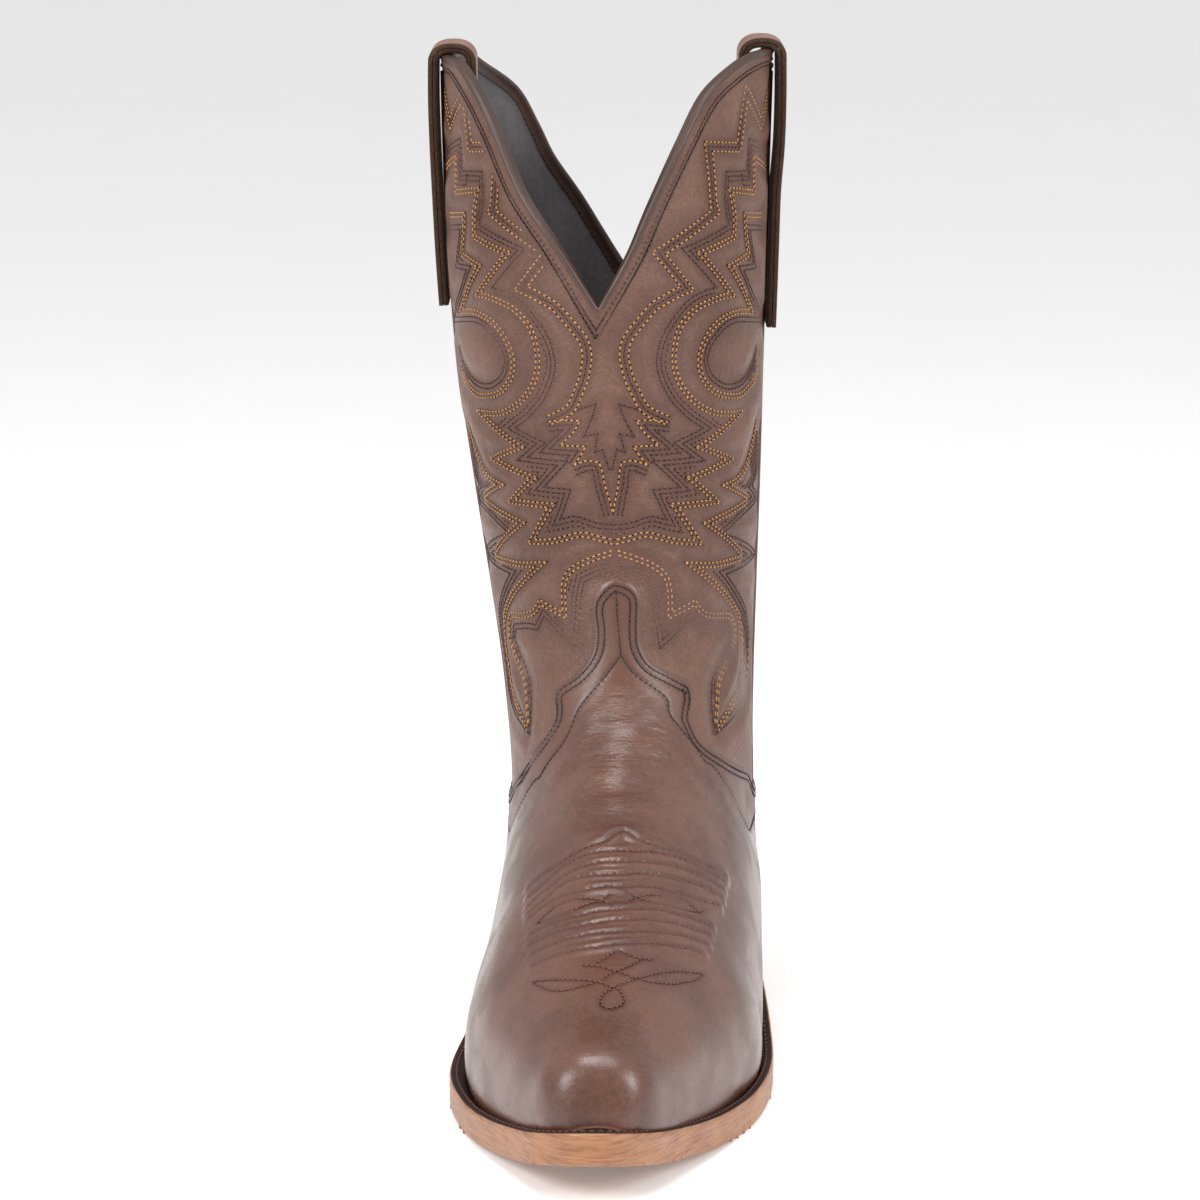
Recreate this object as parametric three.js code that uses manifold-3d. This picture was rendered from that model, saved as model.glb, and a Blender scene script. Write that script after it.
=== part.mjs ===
// Cowboy boot, left foot, rebuilt as separate shoemaking pieces.
// Units are millimetres, +Z up. The origin is the centre of the heel tread on the floor,
// the toe points to -Y, +X is the outer (little toe) side and -X the inner side.
import * as THREE from 'three';
import Module from 'manifold-3d';

const wasm = await Module();
wasm.setup();
const { Manifold, Mesh: Hull } = wasm;

// ---- driving dimensions -------------------------------------------------
const OUTSOLE = 7.5;          // outsole thickness
const WELT = 3.5;             // welt thickness
const HEEL_HEIGHT = 34.5;     // floor to the underside of the outsole at the heel
const SPRING = 12.5;          // lift of the sole 88 mm ahead of the ball
const FRONT_OF_HEEL = -28;    // breast line of the heel on the floor
const BALL = -150;            // where the sole meets the floor behind the ball
const GAP = 0.3;              // air between neighbouring pieces
const SKIN = 1.4;             // vamp and counter cover thickness
const PANEL = 1.3;            // shaft panel thickness
const LINING = 1.0;           // lining thickness
const LASTING = 12;           // width of the lasted margin under the foot
const STRAP_WIDTH = 28;       // pull strap, front to back
const STRAP_PLY = 1.65;       // one of the two plies of a pull strap
const SEAM_HALF = 1.9;        // half the slot for the side seam piping
const TOE_PUFF_LINE = -216;   // back edge of the toe puff
const NAIL_RADIUS = 1.1;
const PEG_RADIUS = 1.0;
const TREAD_CAP = 6.5;        // rubber top lift
const LIFTS = 4;              // leather heel lifts
const AROUND = 28;            // facets round a section

// ---- the foot and leg form ----------------------------------------------
// Each section lies in a plane through a front point and a back point and is a
// split superellipse: [front y, front z, back y, back z, front x, back x,
// half width inner side, half width outer side, height share of the widest point,
// exponent of the front half, exponent of the back half].
const SECTIONS = [
  [-74, 358, 62, 358, -7.5, -7.0, 59.5, 59.5, 0.50, 2.0, 2.0],
  [-79, 318, 57, 318, -8.5, -6.5, 58.5, 58.5, 0.50, 2.0, 2.0],
  [-83, 278, 51, 278, -8.5, -6.0, 57.2, 57.2, 0.50, 2.0, 2.0],
  [-85, 238, 45, 238, -7.5, -5.0, 55.0, 55.0, 0.50, 2.0, 2.0],
  [-87, 198, 40, 198, -5.5, -3.0, 51.2, 52.0, 0.50, 2.0, 2.0],
  [-89, 163, 36, 157, -4.0, -1.0, 47.0, 49.0, 0.50, 2.0, 2.0],
  [-95, 139, 35, 122, -3.5, 0.5, 43.5, 47.0, 0.50, 2.0, 2.1],
  [-105, 122, 38, 92, -4.0, 1.0, 41.0, 46.5, 0.50, 2.0, 2.2],
  [-115, 112, 40, 68, -4.5, 1.0, 39.5, 47.0, 0.50, 1.95, 2.2],
  [-124, 105, 37, 42, -5.0, 0.5, 39.0, 47.5, 0.50, 1.9, 2.3],
  [-132, 100, 12, 36, -5.5, 0.0, 39.2, 48.0, 0.46, 1.9, 2.6],
  [-140, 96, -25, 33, -6.0, 0.0, 40.0, 48.5, 0.42, 1.9, 2.7],
  [-150, 91, -60, 22, -6.5, -1.0, 41.5, 49.0, 0.38, 1.9, 2.7],
  [-162, 85, -97, 8, -7.0, -3.0, 44.0, 50.0, 0.34, 1.9, 2.8],
  [-176, 78, -132, 0, -7.5, -5.0, 47.0, 50.5, 0.31, 1.9, 3.0],
  [-191, 71, -163, -1.5, -7.5, -6.0, 48.0, 49.5, 0.30, 1.95, 3.2],
  [-208, 64, -192, 0, -8.2, -8.0, 43.2, 43.0, 0.30, 2.0, 3.4],
  [-225, 58, -217, 2, -9.2, -9.2, 35.5, 35.5, 0.31, 2.1, 3.4],
  [-242, 52, -239, 6, -10.0, -10.0, 27.5, 27.0, 0.33, 2.3, 3.3],
  [-256, 47, -255, 10, -10.4, -10.4, 20.5, 20.5, 0.36, 2.5, 3.2],
  [-266, 41.5, -265, 14, -10.6, -10.6, 15.5, 15.5, 0.42, 2.6, 3.0],
  [-270.5, 33, -270, 18, -10.8, -10.8, 11.0, 11.0, 0.50, 2.6, 2.8],
  [-272.5, 23, -272.2, 17, -10.8, -10.8, 7.5, 7.5, 0.50, 2.5, 2.5],
];
const STEPS = [
  0, 1, 2, 3, 4, 4.5, 5, 5.5, 6, 6.5, 7, 8, 9, 10, 11,
  12, 13, 14, 15, 16, 17, 18, 19, 20, 21, 22,
];

function sectionAt(v) {
  const last = SECTIONS.length - 1;
  const i = Math.min(Math.floor(v), last - 1);
  const f = v - i;
  const b = SECTIONS[i];
  const c = SECTIONS[i + 1];
  const a = i > 0 ? SECTIONS[i - 1] : b.map((n, k) => 2 * n - c[k]);
  const d = i < last - 1 ? SECTIONS[i + 2] : c.map((n, k) => 2 * n - b[k]);
  return b.map((n, k) => 0.5 * (2 * n + (c[k] - a[k]) * f
    + (2 * a[k] - 5 * n + 4 * c[k] - d[k]) * f * f
    + (3 * n - a[k] - 3 * c[k] + d[k]) * f * f * f));
}

function formPoint(v, angle) {
  const [ya, za, yb, zb, xa, xb, inner, outer, h, pf, pb] = sectionAt(v);
  const c = Math.cos(angle);
  const s = Math.sin(angle);
  const p = c >= 0 ? pf : pb;
  const across = Math.abs(c) ** (2 / p);
  const along = Math.abs(s) ** (2 / p);
  const t = c >= 0 ? h + (1 - h) * across : h - h * across;
  const side = Math.sign(s) * (s >= 0 ? outer : inner) * along;
  return new THREE.Vector3(xb + (xa - xb) * t + side, yb + (ya - yb) * t, zb + (za - zb) * t);
}

function formNormal(v, angle) {
  const last = SECTIONS.length - 1;
  const e = 0.02;
  const along = formPoint(Math.min(v + e, last), angle).sub(formPoint(Math.max(v - e, 0), angle));
  const round = formPoint(v, angle + e).sub(formPoint(v, angle - e));
  return along.cross(round).normalize();
}

// top of the outsole as a height over y: heel seat, waist slope, ball and toe spring
function soleTop(y) {
  const u = Math.min(Math.max((y - BALL) / (FRONT_OF_HEEL - BALL), 0), 1);
  const w = Math.max(0, (-190 - y) / 88);
  return OUTSOLE + HEEL_HEIGHT * (1 - Math.cos(Math.PI * u)) / 2 + SPRING * w * w;
}

// ---- solid helpers --------------------------------------------------------
function toSolid(points, faces) {
  const hull = new Hull({
    numProp: 3,
    vertProperties: new Float32Array(points.flat()),
    triVerts: new Uint32Array(faces.flat()),
  });
  const solid = new Manifold(hull);
  return solid.volume() < 0
    ? new Manifold(new Hull({
      numProp: 3,
      vertProperties: new Float32Array(points.flat()),
      triVerts: new Uint32Array(faces.map(([a, b, c]) => [a, c, b]).flat()),
    }))
    : solid;
}

// closed loft through rings of equal length, ends closed by a fan
function loft(rings) {
  const points = [];
  const faces = [];
  const n = rings[0].length;
  rings.forEach((ring) => ring.forEach((p) => points.push(p)));
  for (let r = 0; r + 1 < rings.length; r += 1) {
    for (let k = 0; k < n; k += 1) {
      const a = r * n + k;
      const b = r * n + (k + 1) % n;
      faces.push([a, b, b + n], [a, b + n, a + n]);
    }
  }
  [0, rings.length - 1].forEach((r) => {
    const centre = rings[r].reduce((s, p) => s.map((x, i) => x + p[i] / n), [0, 0, 0]);
    const hub = points.push(centre) - 1;
    for (let k = 0; k < n; k += 1) {
      const a = r * n + k;
      const b = r * n + (k + 1) % n;
      faces.push(r === 0 ? [hub, b, a] : [hub, a, b]);
    }
  });
  return toSolid(points, faces);
}

// the form swollen by an offset, its toe end pushed out by as much
function rawForm(offset) {
  const last = SECTIONS.length - 1;
  const rings = STEPS.map((v) => {
    const ring = [];
    for (let k = 0; k < AROUND; k += 1) {
      const angle = (2 * Math.PI * k) / AROUND;
      const p = formPoint(v, angle).addScaledVector(formNormal(v, angle), offset);
      if (v === 0) p.z = 358;
      if (v === last) p.y -= 1.1 * offset;
      ring.push([p.x, p.y, p.z]);
    }
    return ring;
  });
  const top = rings[0].map(([x, y]) => [x, y, 372]);
  return loft([top, ...rings]);
}

// prism over a plane outline; axis says which way it is drawn out
function prism(outline, low, high, axis) {
  const flat = outline.map(([a, b]) => new THREE.Vector2(a, b));
  const area = THREE.ShapeUtils.area(flat);
  if (area < 0) flat.reverse();
  const caps = THREE.ShapeUtils.triangulateShape(flat, []);
  const place = {
    x: (a, b, w) => [w, a, b],
    y: (a, b, w) => [a, w, b],
    z: (a, b, w) => [a, b, w],
  }[axis];
  const n = flat.length;
  const points = [];
  [low, high].forEach((w) => flat.forEach((p) => points.push(place(p.x, p.y, w))));
  const faces = [];
  caps.forEach(([a, b, c]) => faces.push([a, c, b], [a + n, b + n, c + n]));
  for (let k = 0; k < n; k += 1) {
    const m = (k + 1) % n;
    faces.push([k, m, m + n], [k, m + n, k + n]);
  }
  return toSolid(points, faces);
}

// slice of space between two heights over the outsole top, for every y
const STRIDE = [-300, -281, -268, -255, -242, -229, -216, -203, -190, -150, -138, -127, -116,
  -105, -94, -83, -72, -61, -50, -39, -28, 60];
function slab(low, high) {
  const upper = STRIDE.map((y) => [y, soleTop(y) + high]);
  const lower = STRIDE.map((y) => [y, soleTop(y) + low]);
  return prism([...lower, ...upper.reverse()], -90, 90, 'x');
}

// the swollen form, kept a height above the outsole
function form(offset, lift) {
  return lift < -4 ? rawForm(offset) : rawForm(offset).intersect(slab(lift, 420));
}

function smooth(points, parts, closed = true) {
  const curve = new THREE.CatmullRomCurve3(
    points.map(([a, b]) => new THREE.Vector3(a, b, 0)), closed, 'catmullrom', 0.5,
  );
  return curve.getPoints(parts).slice(0, closed ? parts : parts + 1).map((p) => [p.x, p.y]);
}

function interpolate(points, at) {
  for (let i = 0; i + 1 < points.length; i += 1) {
    const [a, va] = points[i];
    const [b, vb] = points[i + 1];
    if ((at >= a && at <= b) || (at <= a && at >= b)) return va + ((vb - va) * (at - a)) / (b - a);
  }
  return at < points[0][0] ? points[0][1] : points[points.length - 1][1];
}

// ---- outlines --------------------------------------------------------------
// outer edge of welt and outsole, from the toe round the inner side
const SOLE_EDGE = [
  [-11, -283.5], [-22, -279.5], [-32, -266], [-39.5, -247], [-47.5, -227], [-54.8, -205],
  [-60, -180], [-61.5, -160], [-60, -138], [-54, -112], [-46.5, -85], [-40, -55],
  [-37, -25], [-35.5, 5], [-29, 27], [-15.5, 39], [0, 42], [15.5, 39], [29.5, 27], [37, 5],
  [40, -25], [44, -55], [47.5, -85], [50, -113], [50.5, -140], [48.5, -163],
  [43.5, -187], [36, -208], [27.5, -228], [18, -247], [9, -266], [-1, -279.5],
];
const INNER_EDGE = SOLE_EDGE.slice(0, 17).map(([x, y]) => [y, x]);
const OUTER_EDGE = [[-283.5, -11], ...SOLE_EDGE.slice(16).reverse().map(([x, y]) => [y, x])];
const soleOutline = smooth(SOLE_EDGE, 72);

function insetOutline(margin, front, back) {
  const left = [];
  const right = [];
  for (let y = back; y >= front; y -= 9) {
    const a = interpolate(INNER_EDGE, y) + margin;
    const b = interpolate(OUTER_EDGE, y) - margin;
    if (b - a > 6) {
      left.push([a, y]);
      right.unshift([b, y]);
    }
  }
  return [...left, ...right];
}

// collar line in the front view: front panel and back panel, inner ear to outer ear
const FRONT_COLLAR = [
  [-90, 348.5], [-72, 348.5], [-63.4, 348], [-59.2, 346], [-52.2, 336], [-45.3, 322.8],
  [-36.5, 303.6], [-23.4, 284.8], [-10.5, 264.8], [-0.4, 282.9], [7.3, 300], [18.2, 322.1],
  [27.1, 337.9], [37.9, 346.8], [45.4, 350], [51, 350.5], [90, 350.5],
];
const BACK_COLLAR = [
  [-90, 348.5], [-72, 348.5], [-61, 346.5], [-54.3, 341.6], [-41.9, 331.4], [-33.8, 317.3],
  [-27.8, 305.6], [-17.3, 291.2], [-9, 278.4], [-0.8, 265.8], [7.4, 278.4], [15.7, 291.2],
  [26, 305.6], [32, 317.3], [40, 331.4], [50, 343], [57, 349], [63, 350.5], [90, 350.5],
];
// top edge of the vamp with its tongue, front view
const VAMP_TOP = [
  [-90, 84], [-46, 84], [-41.5, 88], [-33.6, 104.5], [-28.2, 114], [-25.3, 120], [-25.6, 126.5],
  [-23.9, 130.8], [-17.6, 136.3], [-13, 143], [-12, 150], [-12.8, 157], [-12.4, 161.5],
  [-10.5, 165], [-7.7, 168], [-4.7, 169.5], [0.1, 168], [3, 165.6], [4.7, 161.5], [4.5, 151],
  [5.2, 145], [8.2, 140], [14.2, 136.1], [21.4, 131.4], [22.6, 126], [21.3, 119.5],
  [24.8, 112], [32.9, 104.4], [42, 95], [48, 86], [52, 84], [90, 84],
];
// lower edge of the front shaft panel, hidden under the vamp
const SHAFT_LOW = [
  [-90, 72], [-44, 72], [-34, 86], [-22, 101], [-13, 116], [-9, 133], [-4.5, 146], [1, 133],
  [8, 116], [18, 101], [34, 86], [52, 72], [90, 72],
];
// side seam, side view, top to bottom
const SEAM = [[-8, 380], [-8, 350], [-12, 280], [-17, 220], [-22, 160], [-28, 110], [-31, 80],
  [-33, 40], [-34, -20]];
// top edge of the counter cover, side view, breast to back
const COUNTER_TOP = [[-40, 84], [-24, 84], [-8, 82], [8, 84], [22, 92], [34, 106], [44, 116],
  [70, 118]];

const frontOf = (gap) => prism(
  [[-400, -30], ...SEAM.map(([y, z]) => [y - gap, z]).reverse(), [-400, 380]], -120, 120, 'x',
);
const behind = (gap) => prism(
  [[200, -30], ...SEAM.map(([y, z]) => [y + gap, z]).reverse(), [200, 380]], -120, 120, 'x',
);
const under = (line, drop, depth = -50) => prism(
  [...line.map(([a, z]) => [a, z - drop]), [line[line.length - 1][0], depth], [line[0][0], depth]],
  -400, 200, 'y',
);
const over = (line, rise) => prism(
  [...line.map(([a, z]) => [a, z + rise]), [line[line.length - 1][0], 420], [line[0][0], 420]],
  -400, 200, 'y',
);
const underSide = (line, drop) => prism(
  [...line.map(([y, z]) => [y, z - drop]), [70, -50], [-40, -50]], -120, 120, 'x',
);
const overSide = (line, rise) => prism(
  [...line.map(([y, z]) => [y, z + rise]), [200, 118 + rise], [200, 420], [-40, 420]], -120, 120, 'x',
);

// a second line a distance below a collar, measured square to it
function lowered(line, distance) {
  return line.map(([x, z], i) => {
    const [ax, az] = line[Math.max(i - 1, 0)];
    const [bx, bz] = line[Math.min(i + 1, line.length - 1)];
    const run = new THREE.Vector2(bx - ax, bz - az).normalize();
    const first = new THREE.Vector2(x - ax, z - az);
    const second = new THREE.Vector2(bx - x, bz - z);
    const half = first.length() && second.length() ? Math.cos(first.angleTo(second) / 2) : 1;
    return [x + (run.y * distance) / half, z - (run.x * distance) / half];
  });
}

// ---- finished pieces --------------------------------------------------------
const boot = new THREE.Group();
boot.name = 'cowboy_boot';

function finish(name, solid, colour, roughness = 0.6, metalness = 0, coarse = 0.12) {
  const bodies = solid.decompose().sort((a, b) => b.volume() - a.volume());
  const rest = bodies.slice(1).reduce((s, b) => s + b.volume(), 0);
  if (!bodies.length || rest > 0.02 * bodies[0].volume()) {
    throw new Error(`${name}: ${bodies.length} bodies, ${rest.toFixed(1)} mm3 loose`);
  }
  const body = bodies[0].simplify(coarse);
  const mesh = body.getMesh();
  const geometry = new THREE.BufferGeometry();
  geometry.setAttribute('position', new THREE.Float32BufferAttribute(mesh.vertProperties, 3));
  geometry.setIndex(new THREE.Uint32BufferAttribute(mesh.triVerts, 1));
  geometry.computeVertexNormals();
  const material = new THREE.MeshStandardMaterial({ color: colour, roughness, metalness });
  material.name = name;
  const item = new THREE.Mesh(geometry, material);
  item.name = name;
  boot.add(item);
  return body;
}

const SHAFT_BROWN = 0x6f5144;
const VAMP_BROWN = 0x5b4038;
const BLACK_LINING = 0x242424;
const LINING_TAN = 0xa98a68;
const SOLE_TAN = 0xc9a184;

// layer bodies
const coverSkin = form(GAP + SKIN, GAP).subtract(form(GAP, GAP + 1.5));
const panelSkin = form(0, 2.1).subtract(form(-PANEL, -6));
const liningSkin = form(-PANEL - 1.5 * GAP, 2.1).subtract(form(-PANEL - GAP - LINING, 3.1));
const lastOpening = prism(insetOutline(6 + LASTING, -256, 26), -20, 60, 'z').intersect(slab(-20, 8));
const cork = insetOutline(6 + LASTING + 0.6, -250, -95);

// vamp and counter cover
const vampBody = coverSkin.intersect(under(VAMP_TOP, 0)).intersect(frontOf(0.15)).subtract(lastOpening);
finish('vamp', vampBody, VAMP_BROWN, 0.45);
const counterBody = coverSkin.intersect(underSide(COUNTER_TOP, 0)).intersect(behind(0.15))
  .subtract(lastOpening);
finish('counter_cover', counterBody, VAMP_BROWN, 0.45);

// shaft panels, ending below the collar binding and at the side seam piping
const frontPanel = panelSkin.intersect(under(FRONT_COLLAR, 1.7)).intersect(over(SHAFT_LOW, 0))
  .intersect(frontOf(SEAM_HALF));
finish('shaft_front', frontPanel, SHAFT_BROWN, 0.55);
const counterLow = COUNTER_TOP.map(([y, z]) => [y, z - 12]);
const backPanel = panelSkin.intersect(under(BACK_COLLAR, 1.7)).intersect(overSide(counterLow, 0))
  .intersect(behind(SEAM_HALF));
finish('shaft_back', backPanel, SHAFT_BROWN, 0.55);

// interlining, toe puff and heel stiffener fill the panel layer lower down
const beforePuff = prism([[TOE_PUFF_LINE + 0.3, -30], [0, -30], [0, 200], [TOE_PUFF_LINE + 0.3, 200]],
  -90, 90, 'x');
const interBody = panelSkin.intersect(under(SHAFT_LOW, 0.4)).intersect(frontOf(0.3)).intersect(beforePuff);
finish('vamp_interlining', interBody, LINING_TAN, 0.9);
const puffZone = prism([[-400, -30], [TOE_PUFF_LINE, -30], [TOE_PUFF_LINE, 200], [-400, 200]],
  -90, 90, 'x');
finish('toe_puff', form(0, 2.1).subtract(form(-PANEL + 0.4, -6)).intersect(puffZone), 0x9a8468, 0.8);
finish('heel_stiffener', panelSkin.intersect(underSide(counterLow, 0.4)).intersect(behind(0.3)),
  0x8f7a5e, 0.8);

// linings: two for the leg, one for the forefoot, one for the heel
const LINING_JOIN = [[-160, 172], [-60, 118], [-20, 100], [80, 108]];
const aboveJoin = (shift) => prism([...LINING_JOIN.map(([y, z]) => [y, z + shift]), [80, 420],
  [-160, 420]], -120, 120, 'x');
const belowJoin = prism([...LINING_JOIN, [80, -50], [-160, -50]], -120, 120, 'x');
const beyondJoin = prism([[-400, -50], [-160, -50], [-160, 172], [-400, 172]], -120, 120, 'x');
const lowZone = belowJoin.add(beyondJoin);
finish('shaft_lining_front', liningSkin.intersect(under(FRONT_COLLAR, 1.7)).intersect(aboveJoin(0.3))
  .intersect(frontOf(0.15)), BLACK_LINING, 0.5);
finish('shaft_lining_back', liningSkin.intersect(under(BACK_COLLAR, 1.7)).intersect(aboveJoin(0.3))
  .intersect(behind(0.15)), BLACK_LINING, 0.5);
finish('foot_lining', liningSkin.intersect(lowZone).intersect(frontOf(0.15)).subtract(lastOpening),
  LINING_TAN, 0.8);
finish('heel_lining', liningSkin.intersect(lowZone).intersect(behind(0.15)).subtract(lastOpening),
  LINING_TAN, 0.8);

// collar binding wrapped over the edges of panel and lining
const bindSkin = form(1.0, 0).subtract(form(-PANEL - GAP - LINING - 1.0, 0));
const bindCore = form(GAP, 0).subtract(form(-PANEL - GAP - LINING - GAP, 0));
[['front', FRONT_COLLAR, frontOf], ['back', BACK_COLLAR, behind]].forEach(([name, line, half]) => {
  const band = under(line, 0).subtract(under(lowered(line, 5), 0));
  const body = bindSkin.intersect(band).intersect(half(0.2))
    .subtract(bindCore.intersect(under(line, 1.4)));
  finish(`top_binding_${name}`, body, 0x4a4340, 0.4);
});

// side seam piping, standing a little proud of the shaft
const pipingSkin = form(1.1, 0).subtract(form(-PANEL, 0));
const seamStrip = prism([...SEAM.map(([y, z]) => [y - SEAM_HALF + GAP, z]),
  ...SEAM.map(([y, z]) => [y + SEAM_HALF - GAP, z]).reverse()], -120, 120, 'x');
const pipingTall = prism([[-60, 90.5], [40, 90.5], [40, 335], [-60, 335]], -120, 120, 'x');
[['inner', -120, -6], ['outer', -4, 120]].forEach(([name, low, high]) => {
  const side = prism([[low, -200], [high, -200], [high, 200], [low, 200]], 0, 400, 'z');
  finish(`side_piping_${name}`, pipingSkin.intersect(seamStrip).intersect(pipingTall).intersect(side),
    0x4b372f, 0.5);
});

// pull straps: two plies looped over each ear, long leg outside, short leg inside
function strapPath(side, arch, legEnd) {
  const mid = -63.05;
  const path = [];
  const skin = (z) => -Math.abs(formPoint(interpolate([[358, 0], [318, 1], [278, 2], [238, 3]], z),
    (-side * Math.PI) / 2).x + 7.2) - 7.2;
  const clear = 0.55 + 1.1 + STRAP_PLY;
  for (let z = legEnd; z < 292; z += 14) path.push([skin(z) - clear, z]);
  path.push([skin(300) - clear - 0.1, 300], [-69.55, 316], [-70.0, 332]);
  for (let k = 0; k <= 12; k += 1) {
    const a = Math.PI * (1 - k / 12);
    const c = Math.cos(a);
    const s = Math.sin(a);
    path.push([mid + Math.sign(c) * 6.9 * Math.abs(c) ** 0.8, arch + 6.9 * Math.abs(s) ** 0.8]);
  }
  path.push([-56.1, 332], [-56.6, 318], [-57.1, 308], [-57.5, 300]);
  return path.map(([x, z]) => [side * (x + 7.2) - 7.2, z]);
}

function ribbon(path, from, to) {
  const shift = (d) => path.map(([x, z], i) => {
    const [ax, az] = path[Math.max(i - 1, 0)];
    const [bx, bz] = path[Math.min(i + 1, path.length - 1)];
    const run = new THREE.Vector2(bx - ax, bz - az).normalize();
    return [x - run.y * d, z + run.x * d];
  });
  return [...shift(from), ...shift(to).reverse()];
}

[['inner', 1, 346.5, 258], ['outer', -1, 348.5, 250]].forEach(([name, side, arch, legEnd]) => {
  const path = strapPath(side, arch, legEnd);
  const y0 = -8 - STRAP_WIDTH / 2;
  const y1 = -8 + STRAP_WIDTH / 2;
  const face = ribbon(path, side * 0.12, side * (0.12 + STRAP_PLY));
  const back = ribbon(path, side * -0.12, side * -(0.12 + STRAP_PLY));
  finish(`pull_strap_${name}`, prism(face, y0, y1, 'y'), SHAFT_BROWN, 0.6);
  finish(`strap_backing_${name}`, prism(back, y0, y1, 'y'), 0x6a4a36, 0.95);
});

// ---- bottom of the boot -------------------------------------------------------
const soleColumn = prism(soleOutline, -20, 80, 'z');
const clearUpper = form(GAP + SKIN + GAP, -60);
const welted = slab(GAP, WELT).intersect(soleColumn).subtract(clearUpper);
const beforeHeel = prism([[-400, -40], [FRONT_OF_HEEL - 4, -40], [FRONT_OF_HEEL - 4, 120],
  [-400, 120]], -120, 120, 'x');
const heelZone = prism([[FRONT_OF_HEEL - 3.7, -40], [200, -40], [200, 120],
  [FRONT_OF_HEEL - 3.7, 120]], -120, 120, 'x');
finish('welt', welted.intersect(beforeHeel), 0x4a3226, 0.8);
finish('heel_rand', welted.intersect(heelZone), 0x4a3226, 0.8);

const PEG_SPOTS = [];
for (let i = 0; i < 4; i += 1) {
  const y = -112 + 16 * i;
  PEG_SPOTS.push([interpolate(INNER_EDGE, y) + 8, y], [interpolate(OUTER_EDGE, y) - 8, y]);
}
const rod = (x, y, radius, low, high, sides = 12) => {
  const ring = [];
  for (let k = 0; k < sides; k += 1) {
    const a = (2 * Math.PI * k) / sides;
    ring.push([x + radius * Math.cos(a), y + radius * Math.sin(a)]);
  }
  return prism(ring, low, high, 'z');
};
let outsole = slab(-OUTSOLE, 0).intersect(soleColumn);
PEG_SPOTS.forEach(([x, y]) => {
  outsole = outsole.subtract(rod(x, y, PEG_RADIUS + GAP, -10, soleTop(y) - 1.6));
});
finish('outsole', outsole, SOLE_TAN, 0.5);
PEG_SPOTS.forEach(([x, y], i) => {
  const shank = rod(x, y, PEG_RADIUS, -10, soleTop(y) - 2).intersect(slab(-OUTSOLE + 0.1, 0));
  finish(`wood_peg_${i + 1}`, shank, 0xd9bd8c, 0.7);
});

const insoleBed = rawForm(-PANEL - GAP - LINING - GAP).intersect(prism(insetOutline(9, -270, 34),
  -20, 80, 'z'));
finish('insole_board', insoleBed.intersect(slab(3.4, 5.9)), 0xb89066, 0.8, 0, 0.12);
finish('sock_lining', insoleBed.intersect(slab(6.2, 7.4)), 0x7d6a58, 0.9, 0, 0.12);
finish('cork_filler', prism(cork, -20, 60, 'z').intersect(slab(GAP, 3.1)), 0xb98b5a, 0.95);
const shankOutline = [[-7, -90], [7, -90], [8, -30], [7, 14], [-7, 14], [-8, -30]];
finish('steel_shank', prism(shankOutline, -20, 80, 'z').intersect(slab(0.6, 2.6)), 0x8d9094, 0.35, 1);

// heel block: tapered stack of leather lifts on a rubber cap
const SEAT = [[-37.2, -28.8], ...smooth([[-37, -24], [-35.5, 5], [-29, 27], [-15.5, 39], [0, 42],
  [15.5, 39], [29.5, 27], [37, 5], [39.8, -24]], 28, false), [40.2, -28.8]];
const TREAD = SEAT.map(([x, y]) => {
  const t = (y + 28.8) / 70.8;
  return [x * 0.78, -27 + t * 55];
});
const heelRing = (z, grow = 0) => {
  const f = z / HEEL_HEIGHT;
  const bow = 1.6 * Math.sin(Math.PI * f);
  return SEAT.map(([x, y], i) => {
    const [a, b] = TREAD[i];
    const dx = a + (x - a) * f;
    const dy = b + (y - b) * f;
    const k = 1 - bow / 45 + grow;
    return [dx * k, (dy - 2) * (y > 0 ? k : 1) + 2, z];
  });
};
const heelSlice = (low, high) => loft([heelRing(low), heelRing((low + high) / 2), heelRing(high)]);
const NAILS = [[-21, -18], [-20, 4], [-11, 20], [11, 20], [20, 4], [21, -18]];
let cap = heelSlice(0, TREAD_CAP);
NAILS.forEach(([x, y]) => {
  cap = cap.subtract(rod(x, y, NAIL_RADIUS + GAP, -1, TREAD_CAP - 1));
});
finish('heel_cap', cap, 0x2d2622, 0.8);
NAILS.forEach(([x, y], i) => {
  finish(`heel_nail_${i + 1}`, rod(x, y, NAIL_RADIUS, 0.4, TREAD_CAP - 1.4), 0xb59a5a, 0.35, 1);
});
const liftPitch = (HEEL_HEIGHT - GAP - TREAD_CAP) / LIFTS;
for (let i = 0; i < LIFTS; i += 1) {
  const low = TREAD_CAP + i * liftPitch + GAP;
  finish(`heel_lift_${i + 1}`, heelSlice(low, low + liftPitch - GAP), 0x9a6f4c, 0.6);
}

export default boot;
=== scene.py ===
import math

import bmesh
import bpy
import numpy as np
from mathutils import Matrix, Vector, kdtree


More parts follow.
